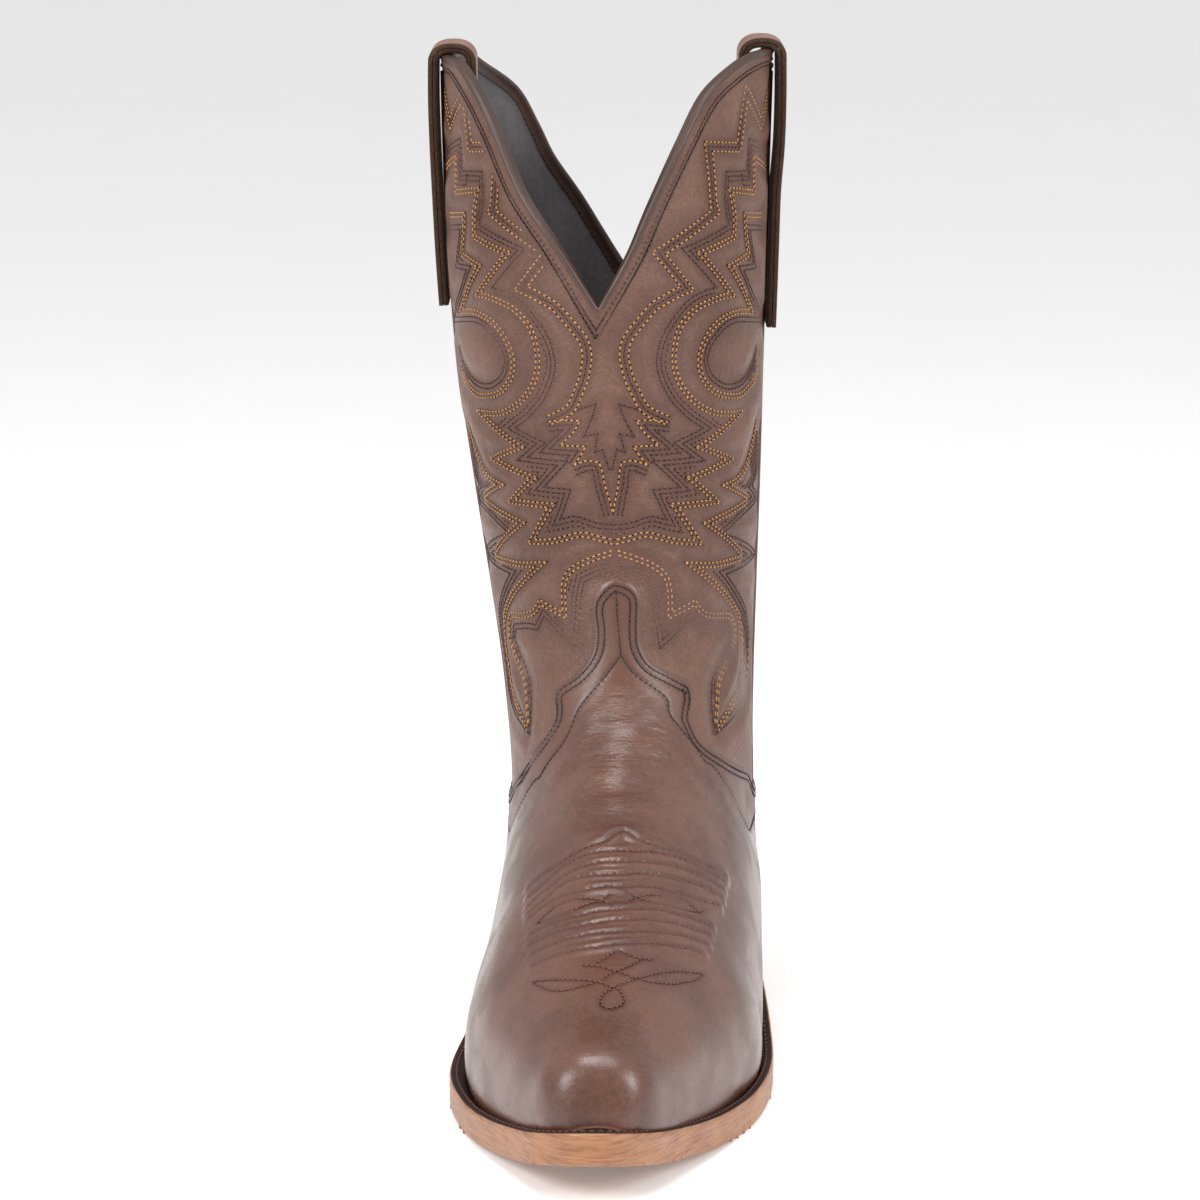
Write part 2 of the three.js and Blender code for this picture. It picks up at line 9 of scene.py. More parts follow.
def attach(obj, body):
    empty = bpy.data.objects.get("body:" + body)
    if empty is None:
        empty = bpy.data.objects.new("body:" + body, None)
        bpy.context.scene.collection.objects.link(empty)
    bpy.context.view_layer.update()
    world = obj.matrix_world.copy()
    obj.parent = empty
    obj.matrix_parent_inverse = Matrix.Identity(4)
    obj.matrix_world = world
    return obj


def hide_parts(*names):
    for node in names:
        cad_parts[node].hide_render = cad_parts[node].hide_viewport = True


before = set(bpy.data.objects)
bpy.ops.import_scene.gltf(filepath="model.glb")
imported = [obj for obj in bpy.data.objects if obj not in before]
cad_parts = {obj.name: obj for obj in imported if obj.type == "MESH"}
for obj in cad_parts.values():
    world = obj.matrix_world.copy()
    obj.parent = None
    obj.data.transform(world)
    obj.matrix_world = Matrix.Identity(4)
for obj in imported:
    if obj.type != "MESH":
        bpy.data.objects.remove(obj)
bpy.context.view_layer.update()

bl_info = {
    "name": "Cowboy Boot Maker",
    "version": (1, 0, 0),
    "blender": (4, 5, 0),
    "location": "3D View > Sidebar > Boot",
    "description": "Makes the leather, stitching, sole and heel of a western boot",
    "category": "Add Mesh",
}

MM = 0.001
PANEL = 1.3            # shaft leather thickness, mm
COVER = 1.4            # vamp and counter thickness, mm
COVER_LIFT = 0.3       # air under the vamp and counter, mm
OUTSOLE = 7.5
HEEL_HEIGHT = 34.5
SPRING = 12.5
BREAST = -28.0
BALL = -150.0
STRAP_PLY = 1.65
TREAD_CAP = 6.5
WELT_TOUCH = 2.6       # height above the sole at which the upper meets the welt, mm


def tree_of(spots):
    """A search tree over points; points of a plane lie at height 0."""
    tree = kdtree.KDTree(len(spots))
    for i, spot in enumerate(spots):
        tree.insert((*spot, 0)[:3], i)
    tree.balance()
    return tree


def run_along(points):
    """Length from the first point to each point of a line."""
    return np.r_[0, np.cumsum(np.linalg.norm(np.diff(points, axis=0), axis=1))]


def unit(ways):
    return ways / np.maximum(np.linalg.norm(ways, axis=-1, keepdims=True), 1e-9)


def through(a, b, c, d, f):
    """The smooth curve from b to c at a share f, with a before and d after them."""
    return 0.5 * (2 * b + (c - a) * f + (2 * a - 5 * b + 4 * c - d) * f * f
                  + (3 * b - a - 3 * c + d) * f ** 3)


def halved(lo, hi, stays_high, rounds=24):
    """Closes lo and hi in on the place where stays_high(middle) changes."""
    for _ in range(rounds):
        mid = (lo + hi) / 2
        out = stays_high(mid)
        lo, hi = np.where(out, mid, lo), np.where(out, hi, mid)
    return lo, hi


def spans(good, least):
    """Start and end of each unbroken stretch of True longer than least."""
    out, start = [], None
    for i, g in enumerate(np.r_[good, False]):
        if g and start is None:
            start = i
        if not g and start is not None:
            if i - start > least:
                out.append((start, i))
            start = None
    return out


# ---- the foot and leg form, mm --------------------------------------------
# front y, front z, back y, back z, front x, back x, half width inner side,
# half width outer side, height share of the widest point, front and back exponents
SECTIONS = np.array([
    [-74, 358, 62, 358, -7.5, -7.0, 59.5, 59.5, .50, 2.0, 2.0],
    [-79, 318, 57, 318, -8.5, -6.5, 58.5, 58.5, .50, 2.0, 2.0],
    [-83, 278, 51, 278, -8.5, -6.0, 57.2, 57.2, .50, 2.0, 2.0],
    [-85, 238, 45, 238, -7.5, -5.0, 55.0, 55.0, .50, 2.0, 2.0],
    [-87, 198, 40, 198, -5.5, -3.0, 51.2, 52.0, .50, 2.0, 2.0],
    [-89, 163, 36, 157, -4.0, -1.0, 47.0, 49.0, .50, 2.0, 2.0],
    [-95, 139, 35, 122, -3.5, 0.5, 43.5, 47.0, .50, 2.0, 2.1],
    [-105, 122, 38, 92, -4.0, 1.0, 41.0, 46.5, .50, 2.0, 2.2],
    [-115, 112, 40, 68, -4.5, 1.0, 39.5, 47.0, .50, 1.95, 2.2],
    [-124, 105, 37, 42, -5.0, 0.5, 39.0, 47.5, .50, 1.9, 2.3],
    [-132, 100, 12, 36, -5.5, 0.0, 39.2, 48.0, .46, 1.9, 2.6],
    [-140, 96, -25, 33, -6.0, 0.0, 40.0, 48.5, .42, 1.9, 2.7],
    [-150, 91, -60, 22, -6.5, -1.0, 41.5, 49.0, .38, 1.9, 2.7],
    [-162, 85, -97, 8, -7.0, -3.0, 44.0, 50.0, .34, 1.9, 2.8],
    [-176, 78, -132, 0, -7.5, -5.0, 47.0, 50.5, .31, 1.9, 3.0],
    [-191, 71, -163, -1.5, -7.5, -6.0, 48.0, 49.5, .30, 1.95, 3.2],
    [-208, 64, -192, 0, -8.2, -8.0, 43.2, 43.0, .30, 2.0, 3.4],
    [-225, 58, -217, 2, -9.2, -9.2, 35.5, 35.5, .31, 2.1, 3.4],
    [-242, 52, -239, 6, -10.0, -10.0, 27.5, 27.0, .33, 2.3, 3.3],
    [-256, 47, -255, 10, -10.4, -10.4, 20.5, 20.5, .36, 2.5, 3.2],
    [-266, 41.5, -265, 14, -10.6, -10.6, 15.5, 15.5, .42, 2.6, 3.0],
    [-270.5, 33, -270, 18, -10.8, -10.8, 11.0, 11.0, .50, 2.6, 2.8],
    [-272.5, 23, -272.2, 17, -10.8, -10.8, 7.5, 7.5, .50, 2.5, 2.5],
])
LAST = len(SECTIONS) - 1


def section_at(v):
    i = np.clip(np.floor(v).astype(int), 0, LAST - 1)
    f = (v - i)[..., None]
    b, c = SECTIONS[i], SECTIONS[i + 1]
    a = np.where((i > 0)[..., None], SECTIONS[np.maximum(i - 1, 0)], 2 * b - c)
    d = np.where((i < LAST - 1)[..., None], SECTIONS[np.minimum(i + 2, LAST)], 2 * c - b)
    return through(a, b, c, d, f)


def form_point(v, angle):
    """Point of the form in mm; past the last section it domes over the toe."""
    v, angle = np.broadcast_arrays(np.asarray(v, float), np.asarray(angle, float))
    past = np.clip(v - LAST, 0, 1) * math.pi / 2
    ya, za, yb, zb, xa, xb, inner, outer, h, pf, pb = np.moveaxis(
        section_at(np.clip(v, 0, LAST)), -1, 0)
    c, s = np.cos(angle), np.sin(angle)
    p = np.where(c >= 0, pf, pb)
    across = np.abs(c) ** (2 / p)
    t = np.where(c >= 0, h + (1 - h) * across, h - h * across)
    side = np.sign(s) * np.where(s >= 0, outer, inner) * np.abs(s) ** (2 / p)
    spot = np.stack([xb + (xa - xb) * t + side, yb + (ya - yb) * t, zb + (za - zb) * t], -1)
    spot[..., 2] += np.maximum(0, -v) * 40
    middle = np.stack([(xa + xb) / 2, (ya + yb) / 2, (za + zb) / 2], -1)
    spot = middle + (spot - middle) * np.cos(past)[..., None]
    spot[..., 1] -= 1.2 * np.sin(past)
    return spot


def form_normal(v, angle):
    v, angle = np.broadcast_arrays(np.asarray(v, float), np.asarray(angle, float))
    e = 0.02
    along = (form_point(np.minimum(v + e, LAST + 1), angle)
             - form_point(np.maximum(v - e, 0), angle))
    around = form_point(v, angle + e) - form_point(v, angle - e)
    n = np.cross(along, around)
    size = np.linalg.norm(n, axis=-1, keepdims=True)
    return np.where(size > 1e-6, n / np.maximum(size, 1e-9), np.array([0.0, -1.0, 0.0]))


def sole_top(y):
    u = np.clip((y - BALL) / (BREAST - BALL), 0, 1)
    w = np.maximum(0, (-190 - y) / 88)
    return OUTSOLE + HEEL_HEIGHT * (1 - np.cos(math.pi * u)) / 2 + SPRING * w * w


# The leather is measured along the form: s round it from the front centre line,
# and either the height of the front line or the length down it.
V_MARKS = np.linspace(0, LAST, 441)
S_MARKS = np.linspace(-140, 140, 561)


def _length_tables():
    fine = np.linspace(0, math.pi, 400)
    tables = []
    for middle in (0.0, math.pi):
        rows = []
        for v in V_MARKS:
            halves = []
            for sign in (1, -1):
                way = sign if middle == 0 else -sign
                p = form_point(np.full(fine.shape, v), middle + way * fine)
                run = run_along(p)
                halves.append(run)
            s = np.r_[-halves[1][::-1], halves[0][1:]]
            a = np.r_[-fine[::-1], fine[1:]]
            rows.append(np.interp(S_MARKS, s, a))
        tables.append(np.array(rows))
    return tables


ANGLE_FRONT, ANGLE_BACK = _length_tables()
FRONT_LINE = form_point(V_MARKS, np.zeros_like(V_MARKS))
FRONT_RUN = run_along(FRONT_LINE)
BACK_LINE = form_point(V_MARKS, np.full(V_MARKS.shape, math.pi))


def look_up(table, v, s):
    i = np.clip(v / (V_MARKS[1]), 0, len(V_MARKS) - 1.001)
    k = np.clip((s - S_MARKS[0]) / (S_MARKS[1] - S_MARKS[0]), 0, len(S_MARKS) - 1.001)
    i0, k0 = i.astype(int), k.astype(int)
    fi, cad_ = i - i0, k - k0
    low = table[i0, k0] * (1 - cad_) + table[i0, k0 + 1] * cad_
    high = table[i0 + 1, k0] * (1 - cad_) + table[i0 + 1, k0 + 1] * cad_
    return low * (1 - fi) + high * fi


def on_front(line, by="height"):
    """Form coordinates of leather points (s, height) or (s, length) on the front half."""
    line = np.asarray(line, float)
    if by == "height":
        v = np.interp(-line[:, 1], -FRONT_LINE[:, 2], V_MARKS)
    else:
        v = np.interp(line[:, 1], FRONT_RUN, V_MARKS)
    return v, look_up(ANGLE_FRONT, v, line[:, 0])


def on_back(line):
    line = np.asarray(line, float)
    v = np.interp(-line[:, 1], -BACK_LINE[:, 2], V_MARKS)
    return v, math.pi - look_up(ANGLE_BACK, v, line[:, 0])


# ---- outlines, mm -----------------------------------------------------------
SOLE_EDGE = [
    (-11, -283.5), (-22, -279.5), (-32, -266), (-39.5, -247), (-47.5, -227), (-54.8, -205),
    (-60, -180), (-61.5, -160), (-60, -138), (-54, -112), (-46.5, -85), (-40, -55),
    (-37, -25), (-35.5, 5), (-29, 27), (-15.5, 39), (0, 42), (15.5, 39), (29.5, 27), (37, 5),
    (40, -25), (44, -55), (47.5, -85), (50, -113), (50.5, -140), (48.5, -163),
    (43.5, -187), (36, -208), (27.5, -228), (18, -247), (9, -266), (-1, -279.5),
]
FRONT_COLLAR = [
    (-90, 348.5), (-72, 348.5), (-63.4, 348), (-59.2, 346), (-52.2, 336), (-45.3, 322.8),
    (-36.5, 303.6), (-23.4, 284.8), (-10.5, 264.8), (-0.4, 282.9), (7.3, 300), (18.2, 322.1),
    (27.1, 337.9), (37.9, 346.8), (45.4, 350), (51, 350.5), (90, 350.5),
]
BACK_COLLAR = [
    (-90, 348.5), (-72, 348.5), (-61, 346.5), (-54.3, 341.6), (-41.9, 331.4), (-33.8, 317.3),
    (-27.8, 305.6), (-17.3, 291.2), (-9, 278.4), (-0.8, 265.8), (7.4, 278.4), (15.7, 291.2),
    (26, 305.6), (32, 317.3), (40, 331.4), (50, 343), (57, 349), (63, 350.5), (90, 350.5),
]
VAMP_TOP = [
    (-90, 84), (-46, 84), (-41.5, 88), (-33.6, 104.5), (-28.2, 114), (-25.3, 120),
    (-25.6, 126.5), (-23.9, 130.8), (-17.6, 136.3), (-13, 143), (-12, 150), (-12.8, 157),
    (-12.4, 161.5), (-10.5, 165), (-7.7, 168), (-4.7, 169.5), (0.1, 168), (3, 165.6),
    (4.7, 161.5), (4.5, 151), (5.2, 145), (8.2, 140), (14.2, 136.1), (21.4, 131.4),
    (22.6, 126), (21.3, 119.5), (24.8, 112), (32.9, 104.4), (42, 95), (48, 86), (52, 84),
    (90, 84),
]
SHAFT_LOW = [
    (-90, 72), (-44, 72), (-34, 86), (-22, 101), (-13, 116), (-9, 133), (-4.5, 146), (1, 133),
    (8, 116), (18, 101), (34, 86), (52, 72), (90, 72),
]
SEAM = [(-8, 380), (-8, 350), (-12, 280), (-17, 220), (-22, 160), (-28, 110), (-31, 80),
        (-33, 40), (-34, -20)]
COUNTER_TOP = [(-40, 84), (-24, 84), (-8, 82), (8, 84), (22, 92), (34, 106), (44, 116),
               (70, 118)]

# ---- shaft stitching, one half, (s, front height) in mm ----------------------
SWEEP = [
    (98, 339.5), (78.5, 324.5), (63, 337), (58.5, 318), (41, 319.5), (42, 314), (43, 307.5),
    (44, 298.5), (45, 296.5), (20, 283.5), (31.5, 270.5), (26.5, 269), (22, 267), (18, 265),
    (13.5, 260.5), (10, 256.5), (7.5, 253), (6.5, 248), (7, 244.5), (8, 240), (10, 235.5),
    (13, 229.5), (17.5, 226.5), (22, 224.5),
]
BANDS = [
    ([(94, 313), (66.5, 320.5), (65.5, 309), (51, 310), (50.5, 299.5), (53, 291), (29.5, 284.5),
      (46, 269.5), (40.5, 269), (34.5, 267.5), (29.5, 264.5), (25.5, 260.5), (22, 256),
      (20, 252), (18.5, 246), (19, 241), (21, 236), (24.5, 230.5), (31, 224.5), (37.5, 220.5),
      (24, 216.5), (32.5, 210.5), (15.5, 210.5), (26, 200.5), (15, 200.5), (18, 193.5),
      (20, 189.5), (13.5, 191), (6, 189), (0.5, 188.5)],
     [(91, 307), (72.5, 312), (73, 300), (54.5, 302.5), (57, 294.5), (57, 286), (39, 282),
      (57, 265.5), (50, 265.5), (43, 264.5), (37, 263), (32.5, 260.5), (29, 257), (27, 252.5),
      (26, 247), (26.5, 241.5), (29.5, 235.5), (36, 229.5), (46, 225.5), (63, 224),
      (37.5, 214), (55, 207.5), (32, 203), (45, 193), (24.5, 193.5), (35, 179.5),
      (22.5, 181), (12, 184), (6.5, 183), (0, 181.5)]),
    ([(86, 286), (69, 288), (71.5, 282.5), (76.5, 273.5), (64, 274), (73, 265), (91.5, 252),
      (69, 255), (58.5, 256), (51.5, 255), (46, 252), (42, 248.5), (40.5, 244.5), (42, 240),
      (46.5, 236.5), (52.5, 234.5), (60, 234.5), (67, 236.5), (74, 240.5), (78.5, 245.5)],
     [(83, 292.5), (63.5, 294.5), (64, 288.5), (66.5, 280), (52, 277), (60, 269.5),
      (69, 259.5), (60, 260.5), (53, 260), (47, 258.5), (42.5, 256), (39, 252.5),
      (36.5, 248.5), (35.5, 244), (36.5, 239), (39.5, 235), (43.5, 232), (50, 230),
      (60, 229), (69.5, 231), (79.5, 234)]),
    ([(91.5, 212.5), (90.5, 200.5), (74, 195), (89.5, 189), (63.5, 186.5), (47, 182),
      (88, 170), (49, 167.5), (58.5, 160.5), (69, 153.5), (76.5, 145.5), (76.5, 138),
      (75, 130), (63.5, 124), (46, 118)],
     [(80.5, 218), (62.5, 202.5), (46.5, 199), (66.5, 191.5), (50.5, 189.5), (35.5, 187),
      (61, 172.5), (40.5, 172.5), (26.5, 174), (36, 167.5), (49, 159), (58.5, 152),
      (63.5, 145), (64, 138.5), (61.5, 130.5), (54, 125), (46.5, 120)]),
    ([(0.5, 172.5), (6.5, 170.5), (11.5, 168), (13, 162.5), (14, 154), (15.5, 145),
      (29.5, 155), (33.5, 150), (40.5, 150), (49.5, 149), (51.5, 145.5), (46.5, 140.5),
      (41, 133.5), (42, 126), (46, 118)],
     [(0.5, 179.5), (8, 177), (14.5, 174), (19, 170), (20.5, 165), (20.5, 157), (31, 160.5),
      (35, 156.5), (41.5, 155), (51.5, 154), (55.5, 151), (57.5, 145.5), (52, 139.5),
      (46.5, 133.5), (46, 127.5), (46, 120.5)]),
]
FLAME = [
    (0, 192.5), (1.5, 199), (2.5, 203), (3, 207), (4, 210.5), (8.5, 211), (13.5, 209),
    (11, 212), (8.5, 216), (13, 216), (18, 216), (13, 220.5), (10, 225), (15.5, 225),
    (22.5, 224),
]
FLAME_CORE = [(0.5, 208), (2.5, 215), (5.5, 214), (4, 220.5), (9, 219.5), (6, 225.5), (4, 231),
              (9, 229.5), (12, 228.5)]
BULB = [
    (91.5, 252), (69, 255), (58.5, 256), (51.5, 255), (46, 252), (42, 248.5), (40.5, 244.5),
    (42, 240), (46.5, 236.5), (52.5, 234.5), (60, 234.5), (67, 236.5), (74, 240.5),
    (78.5, 245.5),
]
PITCH = 2.1            # stitch pitch on the shaft, mm


# ---- plane helpers ------------------------------------------------------------
def soften(points, step=0.25, corner=38):
    """A drawn line: smooth through gentle bends, sharp where it turns hard.
    Gives a list of runs, each from one hard corner to the next."""
    p = np.asarray(points, float)
    cuts = [0]
    for i in range(1, len(p) - 1):
        a, b = p[i] - p[i - 1], p[i + 1] - p[i]
        turn = abs(math.degrees(math.atan2(a[0] * b[1] - a[1] * b[0], a @ b)))
        if turn > corner:
            cuts.append(i)
    cuts.append(len(p) - 1)
    runs = []
    for i, k in zip(cuts[:-1], cuts[1:]):
        q = p[i:k + 1]
        q = np.vstack([2 * q[0] - q[1], q, 2 * q[-1] - q[-2]])
        out = []
        for m in range(1, len(q) - 2):
            n = max(2, int(np.linalg.norm(q[m + 1] - q[m]) / step))
            f = np.linspace(0, 1, n, endpoint=False)[:, None]
            a, b, c, d = q[m - 1], q[m], q[m + 1], q[m + 2]
            out.append(through(a, b, c, d, f))
        runs.append(np.vstack([*out, q[-2:-1]]))
    return runs


def beside(runs, distance):
    """The line a distance to the left of a drawn line, its loops and overlaps dropped."""
    whole = np.vstack(runs)
    kept = []
    tree = tree_of(whole)
    for run in runs:
        d = unit(np.gradient(run, axis=0))
        moved = run + np.stack([-d[:, 1], d[:, 0]], 1) * distance
        good = np.array([tree.find((x, y, 0))[2] > abs(distance) - 0.12 for x, y in moved])
        kept += [moved[i:k] for i, k in spans(good, 3)]
    # runs that end where the next begins are joined by carrying both to their meeting point
    for i in range(len(kept) - 1):
        a, b = kept[i], kept[i + 1]
        if not 0.05 < np.linalg.norm(a[-1] - b[0]) < 2.6 * abs(distance) + 1:
            continue
        da, db = a[-1] - a[-3], b[0] - b[2]
        cross = da[0] * db[1] - da[1] * db[0]
        if abs(cross) < 1e-4:
            continue
        w = b[0] - a[-1]
        meet_at = a[-1] + da * (w[0] * db[1] - w[1] * db[0]) / cross
        if np.linalg.norm(meet_at - a[-1]) > 2.5 * abs(distance) + 1.5:
            continue
        n = max(2, int(np.linalg.norm(meet_at - a[-1]) / 0.25))
        kept[i] = np.vstack([a, np.linspace(a[-1], meet_at, n + 1)[1:]])
        n = max(2, int(np.linalg.norm(meet_at - b[0]) / 0.25))
        kept[i + 1] = np.vstack([np.linspace(meet_at, b[0], n + 1)[:-1], b])
    return kept


def signed(poly, x, y):
    """Distance to a closed outline, positive inside."""
    poly = np.asarray(poly, float)
    near = np.full(x.shape, 1e9)
    inside = np.zeros(x.shape, bool)
    for (ax, ay), (bx, by) in zip(poly, np.roll(poly, -1, 0)):
        dx, dy = bx - ax, by - ay
        f = np.clip(((x - ax) * dx + (y - ay) * dy) / max(dx * dx + dy * dy, 1e-12), 0, 1)
        near = np.minimum(near, np.hypot(x - ax - f * dx, y - ay - f * dy))
        if ay != by:
            hit = ((ay > y) != (by > y)) & (x < ax + (y - ay) * dx / dy)
            inside ^= hit
    return np.where(inside, near, -near)


def beneath(line, x, z):
    return signed([*line, (line[-1][0], -60), (line[0][0], -60)], x, z)


def above(line, x, z):
    return signed([*line, (line[-1][0], 420), (line[0][0], 420)], x, z)


def seam_y(z):
    seam = np.array(SEAM[::-1], float)
    return np.interp(z, seam[:, 1], seam[:, 0])


def step_in(low, high, x):
    t = np.clip((x - low) / (high - low), 0, 1)
    return t * t * (3 - 2 * t)


def ripple(p, seed, size):
    """Smooth, repeatable unevenness of about +-1 over a feature size in mm."""
    rng = np.random.default_rng(seed)
    total = np.zeros(p.shape[:-1])
    for _ in range(7):
        way = rng.normal(size=3)
        way *= (0.6 + 0.8 * rng.random()) * 2 * math.pi / size / np.linalg.norm(way)
        total += np.sin(p @ way + rng.random() * 2 * math.pi)
    return total / 3.2


# ---- bench helpers --------------------------------------------------------------
def clear_bench():
    if bpy.context.object and bpy.context.object.mode != "OBJECT":
        bpy.ops.object.mode_set(mode="OBJECT")
    bpy.ops.object.select_all(action="DESELECT")


def hold(ob):
    clear_bench()
    ob.select_set(True)
    bpy.context.view_layer.objects.active = ob


def take(name):
    ob = bpy.context.object
    ob.name = ob.data.name = name
    return ob


def coordinates(ob):
    co = np.empty(len(ob.data.vertices) * 3, np.float32)
    ob.data.vertices.foreach_get("co", co)
    return co.reshape(-1, 3).astype(float)


def place(ob, spots):
    ob.data.vertices.foreach_set("co", (np.asarray(spots) * MM).astype(np.float32).ravel())
    ob.data.update()


def grid_start(name, columns, rows):
    """A grid primitive and the column and row number of each of its vertices."""
    clear_bench()
    bpy.ops.mesh.primitive_grid_add(x_subdivisions=columns, y_subdivisions=rows, size=2)
    ob = take(name)
    co = coordinates(ob)
    xs = np.rint((co[:, 0] + 1) / 2 * columns).astype(int)
    ys = np.rint((co[:, 1] + 1) / 2 * rows).astype(int)
    if xs.max() != columns or ys.max() != rows or len(co) != (columns + 1) * (rows + 1):
        raise RuntimeError(f"{name}: the grid primitive has other counts")
    return ob, xs, ys


def modify(ob, kind, **settings):
    hold(ob)
    m = ob.modifiers.new(kind.title(), kind)
    for key, value in settings.items():
        setattr(m, key, value)
    bpy.ops.object.modifier_apply(modifier=m.name)


def shade(ob, angle=None):
    hold(ob)
    if angle is None:
        bpy.ops.object.shade_smooth()
    else:
        bpy.ops.object.shade_smooth_by_angle(angle=math.radians(angle))


def face_out(ob):
    hold(ob)
    bpy.ops.object.mode_set(mode="EDIT")
    bpy.ops.mesh.select_all(action="SELECT")
    bpy.ops.mesh.remove_doubles(threshold=1e-6)
    bpy.ops.mesh.normals_make_consistent(inside=False)
    bpy.ops.object.mode_set(mode="OBJECT")


def deliver(ob, stands_for=(), finish=None):
    if finish is not None:
        for f in finish if isinstance(finish, (list, tuple)) else [finish]:
            ob.data.materials.append(f)
    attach(ob, "root")
    if stands_for:
        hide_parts(*stands_for)
    return ob


def mark(ob, name, values):
    layer = ob.data.attributes.new(name, "FLOAT", "POINT")
    layer.data.foreach_set("value", np.asarray(values, np.float32))


def cut_skin(name, v_rows, angles, level, shape, thickness, marks=None, thin=True):
    """A curved sheet of leather: a grid laid on the form, trimmed where level is
    negative, its edge run along level zero, given its thickness inwards."""
    rows, cols = len(v_rows), len(angles)
    ob, xs, ys = grid_start(name, cols - 1, rows - 1)
    v, a = np.meshgrid(v_rows, angles, indexing="ij")
    d = level(v, a)
    inside = d > 0
    best = np.full(d.shape, -1.0)
    to_v, to_a = v.copy(), a.copy()
    pv, pa = np.pad(v, 1, mode="edge"), np.pad(a, 1, mode="edge")
    pd = np.pad(np.where(inside, d, -1), 1, constant_values=-1)
    for i in (0, 1, 2):
        for k in (0, 1, 2):
            if i == k == 1:
                continue
            part = (slice(i, i + rows), slice(k, k + cols))
            better = pd[part] > best
            best = np.where(better, pd[part], best)
            to_v, to_a = np.where(better, pv[part], to_v), np.where(better, pa[part], to_a)
    rim = ~inside & (best > 0)
    lo = np.stack([v[rim], a[rim]])
    hi = np.stack([to_v[rim], to_a[rim]])
    lo, hi = halved(lo, hi, lambda mid: level(mid[0], mid[1]) <= 0, rounds=14)
    v[rim], a[rim] = (lo + hi) / 2
    spots = shape(v, a)
    place(ob, spots[ys, xs])
    for key, values in (marks(v, a) if marks else {}).items():
        mark(ob, key, values[ys, xs])
    bm = bmesh.new()
    bm.from_mesh(ob.data)
    flag = inside[ys, xs]
    usable = (inside | rim)[ys, xs]
    spare = [f for f in bm.faces
             if not any(flag[q.index] for q in f.verts)
             or not all(usable[q.index] for q in f.verts)]
    bmesh.ops.delete(bm, geom=spare, context="FACES")
    bmesh.ops.remove_doubles(bm, verts=bm.verts, dist=2e-5)
    bmesh.ops.dissolve_degenerate(bm, edges=bm.edges, dist=5e-6)
    for _ in range(12):
        bmesh.ops.delete(bm, geom=[e for e in bm.edges if not e.link_faces], context="EDGES")
        folded = [q for q in bm.verts if not q.link_faces
                  or sum(len(e.link_faces) != 2 for e in q.link_edges) > 2
                  or any(len(e.link_faces) > 2 for e in q.link_edges)]
        bmesh.ops.delete(bm, geom=folded, context="VERTS")
    bm.normal_update()
    middle = form_point(np.array([v_rows[rows // 2]]), np.array([angles[cols // 2]]))
    outward = form_normal(np.array([v_rows[rows // 2]]), np.array([angles[cols // 2]]))[0]
    face = min(bm.faces, key=lambda f: (f.calc_center_median() - Vector(middle[0] * MM)).length)
    if face.normal @ Vector(outward) < 0:
        bmesh.ops.reverse_faces(bm, faces=bm.faces)
    bm.to_mesh(ob.data)
    bm.free()
    ob.vertex_groups.new(name="inside")
    modify(ob, "SOLIDIFY", thickness=thickness * MM, offset=-1, shell_vertex_group="inside")
    if thin:
        modify(ob, "DECIMATE", ratio=0.56, vertex_group="inside", use_collapse_triangulate=False)
    ob.vertex_groups.clear()
    shade(ob, 50)
    return ob


def swept(name, spine, profile):
    """A closed profile carried along a line. spine gives (n, 3) centres and two (n, 3)
    directions; profile is (m, 2) in those directions."""
    centres, first, second = spine
    profile = np.asarray(profile, float)
    if profile.ndim == 2:
        profile = np.broadcast_to(profile, (len(centres), *profile.shape))
    n, m = len(centres), profile.shape[1]
    ob, xs, ys = grid_start(name, n - 1, m)
    along, round_ = xs, ys % m
    spots = (centres[along] + first[along] * profile[along, round_, 0][:, None]
             + second[along] * profile[along, round_, 1][:, None])
    place(ob, spots)
    hold(ob)
    bpy.ops.object.mode_set(mode="EDIT")
    bpy.ops.mesh.select_all(action="SELECT")
    bpy.ops.mesh.remove_doubles(threshold=1e-6)
    bpy.ops.mesh.select_all(action="DESELECT")
    bpy.ops.mesh.select_mode(type="EDGE")
    bpy.ops.mesh.select_non_manifold(extend=False)
    bpy.ops.mesh.edge_face_add()
    bpy.ops.mesh.select_all(action="SELECT")
    bpy.ops.mesh.normals_make_consistent(inside=False)
    bpy.ops.object.mode_set(mode="OBJECT")
    return ob


# ---- stitching ----------------------------------------------------------------
def stitch_points(runs, pitch):
    """Middles and ends of the stitches along drawn runs: (n, 2) starts and ends."""
    starts, ends = [], []
    for run in runs:
        seg = np.linalg.norm(np.diff(run, axis=0), axis=1)
        length = np.r_[0, np.cumsum(seg)]
        if length[-1] < pitch * 0.7:
            continue
        n = max(1, int(round(length[-1] / pitch)))
        at = np.linspace(0, length[-1], n + 1)
        q = np.stack([np.interp(at, length, run[:, 0]), np.interp(at, length, run[:, 1])], 1)
        starts.append(q[:-1])
        ends.append(q[1:])
    if not starts:
        return np.zeros((0, 2)), np.zeros((0, 2))
    return np.vstack(starts), np.vstack(ends)


